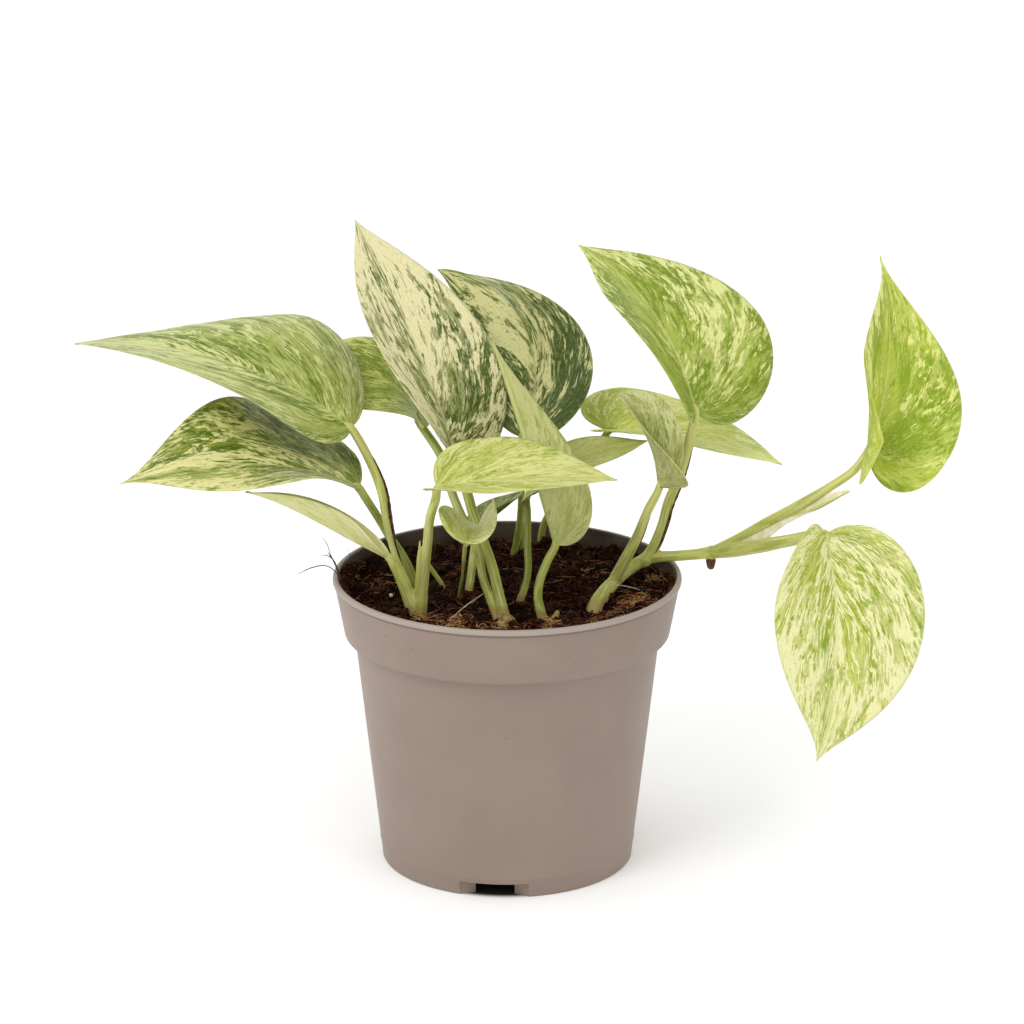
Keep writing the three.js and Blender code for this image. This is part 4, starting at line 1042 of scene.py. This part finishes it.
def earthFinish(name, dark, middle, light, scale=1.0):
    finish = Finish(name, Roughness=0.9, Specular_IOR_Level=0.1)
    place = finish.place()
    crumb = finish.noise(place, earthMarks["crumb"] * scale, 4, 0.7)
    patch = finish.noise(place, earthMarks["patch"] * scale, 2, 0.5)
    thread = finish.noise(finish.stretched(place, *earthMarks["thread"]), 1.0, 2, 0.6)
    colour = finish.mix(crumb.step(0.38, 0.66), dark, middle)
    colour = finish.mix(thread.step(0.6, 0.68) * patch.step(0.35, 0.6), colour, light)
    finish.set(Base_Color=colour, Normal=finish.bump(crumb, 0.8, 0.6))
    return finish


def strandFinish(name, first, second, rough=0.7):
    finish = Finish(name, Roughness=rough)
    tone = finish.noise(finish.place(), earthMarks["strand"], 2, 0.6)
    finish.set(Base_Color=finish.mix(tone.step(0.4, 0.6), first, second))
    return finish


soilFinish = earthFinish("peat", rgb(21, 12, 9), rgb(56, 34, 25), rgb(112, 70, 48))
crumbFinish = earthFinish("peat_crumbs", rgb(24, 14, 10), rgb(92, 58, 43), rgb(160, 116, 86), 1.4)
coirFinish = strandFinish("coir", rgb(84, 46, 32), rgb(168, 108, 74))
goldFinish = strandFinish("coir_pale", rgb(190, 142, 86), rgb(224, 184, 124))
hairFinish = strandFinish("root_hair", rgb(224, 206, 176), rgb(240, 230, 208), 0.5)

# Where coir lies in a tangle: x, y, spread and how many fibres.
coirTufts = [(42, -9, 5, 90), (46, -3, 4, 40), (33, -22, 6, 40), (-17, -23, 6, 80), (-28, -21, 4, 24),
             (6, -42, 8, 30), (14, -25, 4, 30), (51, 12, 4, 20), (-6, -26, 4, 24), (30, 22, 8, 14),
             (-44, 12, 6, 14)]

buildSoil(soilFinish)
buildCrumbs("soil_crumbs", 2600, low=0.35, high=1.5, finish=crumbFinish)
buildFibres("soil_fibres", 420, longest=11, thickness=0.16, finish=coirFinish)
buildCrumbs("soil_lumps", 480, low=1.4, high=3.2, finish=crumbFinish)
buildFibres("soil_fibres_pale", 70, longest=7, thickness=0.13, finish=goldFinish)
buildTufts("coir_tufts", coirTufts, longest=5, thickness=0.17, finish=goldFinish)
buildTufts("coir_tufts_red", coirTufts, longest=7, thickness=0.16, finish=coirFinish)

# Soil that clings to the inner wall: from and to where round the pot in degrees, and how high up.
wallSoil = [(150, 215, 8.4), (215, 240, 4), (120, 150, 3), (-35, 18, 7.6), (18, 40, 3)]
# How many crumbs and fibres there are to a degree and a millimetre of height, and the sizes.
wallLoose = dict(crumbs=3, fibres=0.12, smallest=0.35, largest=1.25, ragged=0.25, fibre=0.14)


def buildWallSoil(name, banks, finish):
    bm = bmesh.new()
    for start, end, reach in banks:
        for _ in range(round((end - start) * reach * wallLoose["crumbs"])):
            share = random.random()
            turn = math.radians(mixed(start, end, share))
            rise = reach * random.random() * math.sin(math.pi * share) ** 0.4
            radius = insideRadius(soilTop + rise) - random.uniform(0.2, 1.1)
            size = random.uniform(wallLoose["smallest"], wallLoose["largest"])
            place = Matrix.Translation((radius * math.cos(turn), radius * math.sin(turn),
                                        soilTop + rise - 0.4))
            spin = Matrix.Rotation(random.uniform(0, 6), 4, Vector((random.random(), random.random(), 0.5)))
            made = bmesh.ops.create_icosphere(bm, subdivisions=1, radius=size, matrix=place @ spin)
            ragged = wallLoose["ragged"]
            for vertex in made["verts"]:
                vertex.co += Vector([random.uniform(-ragged, ragged) * size for _ in range(3)])
                length = math.hypot(vertex.co.x, vertex.co.y)
                limit = insideRadius(vertex.co.z) - 0.05
                if length > limit:
                    vertex.co.x, vertex.co.y = vertex.co.x * limit / length, vertex.co.y * limit / length
    return keep(name, bm, [finish])


def buildWallFibres(name, banks, finish):
    bm = bmesh.new()
    for start, end, reach in banks:
        for _ in range(round((end - start) * reach * wallLoose["fibres"])):
            turn = math.radians(random.uniform(start, end))
            rise = reach * random.random()
            low = insideRadius(soilTop) - 1.6
            place = Vector((low * math.cos(turn), low * math.sin(turn), soilTop + rise * 0.7))
            path = strandPath(place, turn + random.uniform(1, 2.1), random.uniform(2, 6),
                              random.uniform(-1, 1), random.uniform(-0.4, 0.8), wallLoose["fibre"])
            if all(math.hypot(point.x, point.y) < insideRadius(point.z) - 0.3 and point.z < pot["height"]
                   for point, _ in path):
                tube(bm, path, 3)
    return keep(name, bm, [finish])


buildWallSoil("wall_soil", wallSoil, crumbFinish)
buildWallFibres("wall_fibres", wallSoil, coirFinish)
print("soil")


# ---- hairs, dry sheaths and the root stub

# Single root hairs and threads, through these points in millimetres.
hairs = {
    "hair_over_lip": dict(finish="dark", radius=0.19, points=[
        (-71.5, -5, 103.6), (-66.8, -5, 105.9), (-62, -5.2, 106.6), (-58.2, -5.5, 103.8), (-56, -6, 94)]),
    "hair_short": dict(finish="dark", radius=0.24, points=[
        (-61.2, -5, 111.3), (-60.2, -5, 109.6), (-58.9, -5, 107.6), (-57.4, -5.2, 103), (-56, -5.5, 96)]),
    "hair_loose": dict(finish="dark", radius=0.13, points=[
        (-63.2, -5, 116.8), (-61.6, -5, 114.4), (-60.6, -5, 111.2), (-58, -5.4, 104), (-56.5, -5.5, 96)]),
    "hair_forked": dict(finish="dark", radius=0.15, points=[
        (-63.6, -6, 110.6), (-61.6, -5.6, 110.5), (-59.4, -5.2, 108.4), (-57, -5.4, 102), (-55.5, -6, 95)]),
    "hair_white": dict(finish="pale", radius=0.16, points=[
        (-6.4, -4, 97.5), (-9.5, -9, 96.8), (-13.5, -15.6, 96.2), (-19.5, -24.9, 94)]),
    "hair_golden": dict(finish="pale", radius=0.15, points=[
        (33.4, -1.5, 98.5), (35.2, -4.6, 99.6), (38.8, -3.4, 98.9), (43.5, 0.5, 96.6), (48.5, 5, 93.4)]),
    "hair_tall": dict(finish="dark", radius=0.11, points=[
        (-57, 10, 93), (-56, 9.5, 98), (-54, 9, 104), (-55.4, 8, 109)]),
}

# Dry brown edges of the sheaths: which shoot they run along, from and to as shares of it, on
# which side, and how thick.
sheathEdges = [
    dict(stem="stem_left", shoot=2, start=0.4, end=0.84, side=(1, -0.35, 0), width=0.6),
    dict(stem="stem_left", shoot=2, start=0.2, end=0.6, side=(1, -1, 0), width=0.35),
    dict(stem="stem_vine", shoot=2, start=0.16, end=0.9, side=(1, -0.25, 0), width=0.55),
    dict(stem="stem_vine", shoot=2, start=0.12, end=0.5, side=(1, -1, 0), width=0.3),
    dict(stem="stem_vine", shoot=1, start=0.3, end=0.72, side=(1, -0.3, 0), width=0.3),
    dict(stem="stem_knob", shoot=1, start=0.08, end=0.5, side=(1, -0.5, 0), width=0.32),
    dict(stem="stem_thin", shoot=0, start=0.3, end=0.7, side=(0.6, -1, 0), width=0.25),
    dict(stem="stem_centre", shoot=0, start=0.3, end=0.6, side=(-1, -0.4, 0), width=0.3),
]


def buildSheathEdges(name, edges, finish):
    bm = bmesh.new()
    for edge in edges:
        path = smoothPath(leafEnd(stems[edge["stem"]]["shoots"][edge["shoot"]]), 8)
        low, high = round(edge["start"] * (len(path) - 1)), round(edge["end"] * (len(path) - 1))
        part = path[low:high + 1]
        strip = []
        for i, ((point, radius), (ahead, _, _)) in enumerate(zip(part, framesAlong(part))):
            out = Vector(edge["side"])
            out = (out - ahead * out.dot(ahead)).normalized()
            share = i / (len(part) - 1)
            width = 0.08
            if 0 < share < 1:
                ragged = 1 + 0.3 * noise.noise(point * 0.8)
                width = edge["width"] * math.sin(math.pi * share) ** 0.45 * ragged
            strip.append((point + out * radius * 0.98, width))
        tube(bm, strip, 8)
    closeUp(bm)
    return keep(name, bm, [finish])


def buildHair(name, hair, finish):
    bm = bmesh.new()
    stations = [(*point, hair["radius"]) for point in hair["points"]]
    for i in (0, -1):  # half as thick at its two ends
        stations[i] = (*hair["points"][i], hair["radius"] * 0.5)
    tube(bm, smoothPath(stations, 6), 5)
    closeUp(bm)
    return keep(name, bm, [finish])


barkFinish = strandFinish("dry_sheath", rgb(66, 44, 34), rgb(112, 78, 56), 0.7)
darkHairFinish = strandFinish("dark_hair", rgb(62, 56, 54), rgb(92, 82, 76), 0.6)
buildSheathEdges("sheath_edges", sheathEdges, barkFinish)
for name, hair in hairs.items():
    buildHair(name, hair, hairFinish if hair["finish"] == "pale" else darkHairFinish)

# The pale papery sheath between the two leaf stalks of the vine: pairs of points on its two edges.
sheathWeb = [((71, 7.6, 107.5), (71, 7.6, 106.9)), ((76.5, 3.5, 111.5), (76.5, 2.4, 109.8)),
             ((82.5, -3, 117), (82.5, -6, 113.6)), ((86, -6.4, 120.4), (87.4, -12.6, 117.4)),
             ((90, -10.4, 124.6), (89.4, -13.8, 120.4)), ((95, -16.2, 129.6), (94.5, -17, 125.6)),
             ((101, -22.4, 135.2), (101, -23.4, 131.2)), ((106.5, -27, 139.6), (107, -28.6, 136)),
             ((114, -35.6, 143.4), (114, -35.8, 142.8))]
webColumns = 4
webRipple = 0.35
webThickness = 0.3


def buildWeb(name, pairs, thickness, finish):
    bm = bmesh.new()
    grid = []
    for i, (low, high) in enumerate(pairs):
        row = [Vector(low).lerp(Vector(high), j / webColumns) for j in range(webColumns + 1)]
        grid.append([bm.verts.new(point + Vector((0, webRipple * math.sin(i * 1.9 + j), 0)))
                     for j, point in enumerate(row)])
    for near, far in zip(grid, grid[1:]):
        for j in range(webColumns):
            bm.faces.new((near[j], near[j + 1], far[j + 1], far[j]))
    web = scratch(name + "_rough", bm)
    subdivide = web.modifiers.new("smooth", "SUBSURF")
    subdivide.levels = 2
    solid = web.modifiers.new("thick", "SOLIDIFY")
    solid.thickness = thickness
    solid.offset = 0
    return keep(name, applied(web), [finish])


webFinish = strandFinish("papery_sheath", rgb(232, 226, 182), rgb(250, 244, 218), 0.6)
buildWeb("sheath_web", sheathWeb, webThickness, webFinish)

grain = dict(x=-40.1, y=2.2, radius=0.75, lift=0.9)  # of white perlite, on the soil
rootStub = [(70.3, 8, 105.2, 1.6), (70.3, 7.9, 103.8, 1.75), (70.3, 7.8, 102.3, 1.4)]  # under the vine


def buildGrain(name, finish):
    x, y = grain["x"], grain["y"]
    place = Matrix.Translation((x, y, soilTop + soilRelief(x, y) + grain["lift"]))
    bm = bmesh.new()
    bmesh.ops.create_icosphere(bm, subdivisions=2, radius=grain["radius"], matrix=place)
    return keep(name, bm, [finish])


def buildRootStub(name, stations, finish):
    bm = bmesh.new()
    tube(bm, [(Vector(station[:3]), station[3]) for station in stations], 16)
    closeUp(bm)
    return keep(name, bm, [finish])


buildGrain("perlite_grain", strandFinish("perlite", rgb(226, 224, 220), rgb(244, 242, 240), 0.8))
buildRootStub("root_stub", rootStub, barkFinish)
print("hairs and sheaths")


# ---- floor, light and camera

studio = dict(floorSize=6, floorGlow=0.04, background=(1.0, 1.0, 1.0), backgroundStrength=0.98)


def buildFloor():
    bm = bmesh.new()
    bmesh.ops.create_grid(bm, x_segments=1, y_segments=1, size=studio["floorSize"])
    mesh = bpy.data.meshes.new("floor")
    bm.to_mesh(mesh)
    bm.free()
    finish = Finish("floor", Roughness=0.9, Specular_IOR_Level=0.1, Emission_Strength=studio["floorGlow"])
    x, y, _ = finish.parts(finish.place())
    clearOfPaintedShadow = ((x * x + y * y) ** 0.5).step(baseRadius - 3, baseRadius + 0.8)  # painted shadow: dark under the pot and in a thin ring just outside its foot
    # The painted shadow darkens both the floor's colour and its glow.
    finish.set(Base_Color=finish.mix(clearOfPaintedShadow, (0.03, 0.025, 0.02, 1), (0.99, 0.99, 0.99, 1)),
               Emission_Color=finish.mix(clearOfPaintedShadow, (0, 0, 0, 1), (1, 1, 1, 1)))
    mesh.materials.append(finish.material)
    floor = bpy.data.objects.new("floor", mesh)
    bpy.context.scene.collection.objects.link(floor)


def lamp(name, place, aim, size, power):
    data = bpy.data.lights.new(name, "AREA")
    data.shape = "DISK"
    data.size = size
    data.energy = power
    thing = bpy.data.objects.new(name, data)
    thing.location = place
    thing.rotation_euler = (Vector(aim) - Vector(place)).to_track_quat("-Z", "Y").to_euler()
    bpy.context.scene.collection.objects.link(thing)


buildFloor()
world = bpy.data.worlds.new("studio")
world.use_nodes = True
world.node_tree.nodes["Background"].inputs["Color"].default_value = (*studio["background"], 1)
world.node_tree.nodes["Background"].inputs["Strength"].default_value = studio["backgroundStrength"]
bpy.context.scene.world = world
bpy.context.scene.view_settings.view_transform = "Standard"
lamp("key", (-0.55, -0.7, 1.15), aim=(0, 0, 0.1), size=0.6, power=5)
lamp("fill", (0.9, -0.9, 0.6), aim=(0, 0, 0.1), size=0.8, power=1.5)
lamp("side", (-1.1, 0.05, 0.35), aim=(0, 0, 0.08), size=0.6, power=1.3)

view = dict(distance=1.5, rise=17.82, aim=(0.00165, 0, 0.12426), lens=154.164, sensor=36, nearest=0.05)
camera = bpy.data.objects.new("camera", bpy.data.cameras.new("camera"))
camera.data.lens = view["lens"]
camera.data.sensor_width = view["sensor"]
camera.data.clip_start = view["nearest"]
rise = math.radians(view["rise"])
camera.location = Vector(view["aim"]) + view["distance"] * Vector((0, -math.cos(rise), math.sin(rise)))
camera.rotation_euler = (math.pi / 2 - rise, 0, 0)
bpy.context.scene.collection.objects.link(camera)
bpy.context.scene.camera = camera
print("studio")
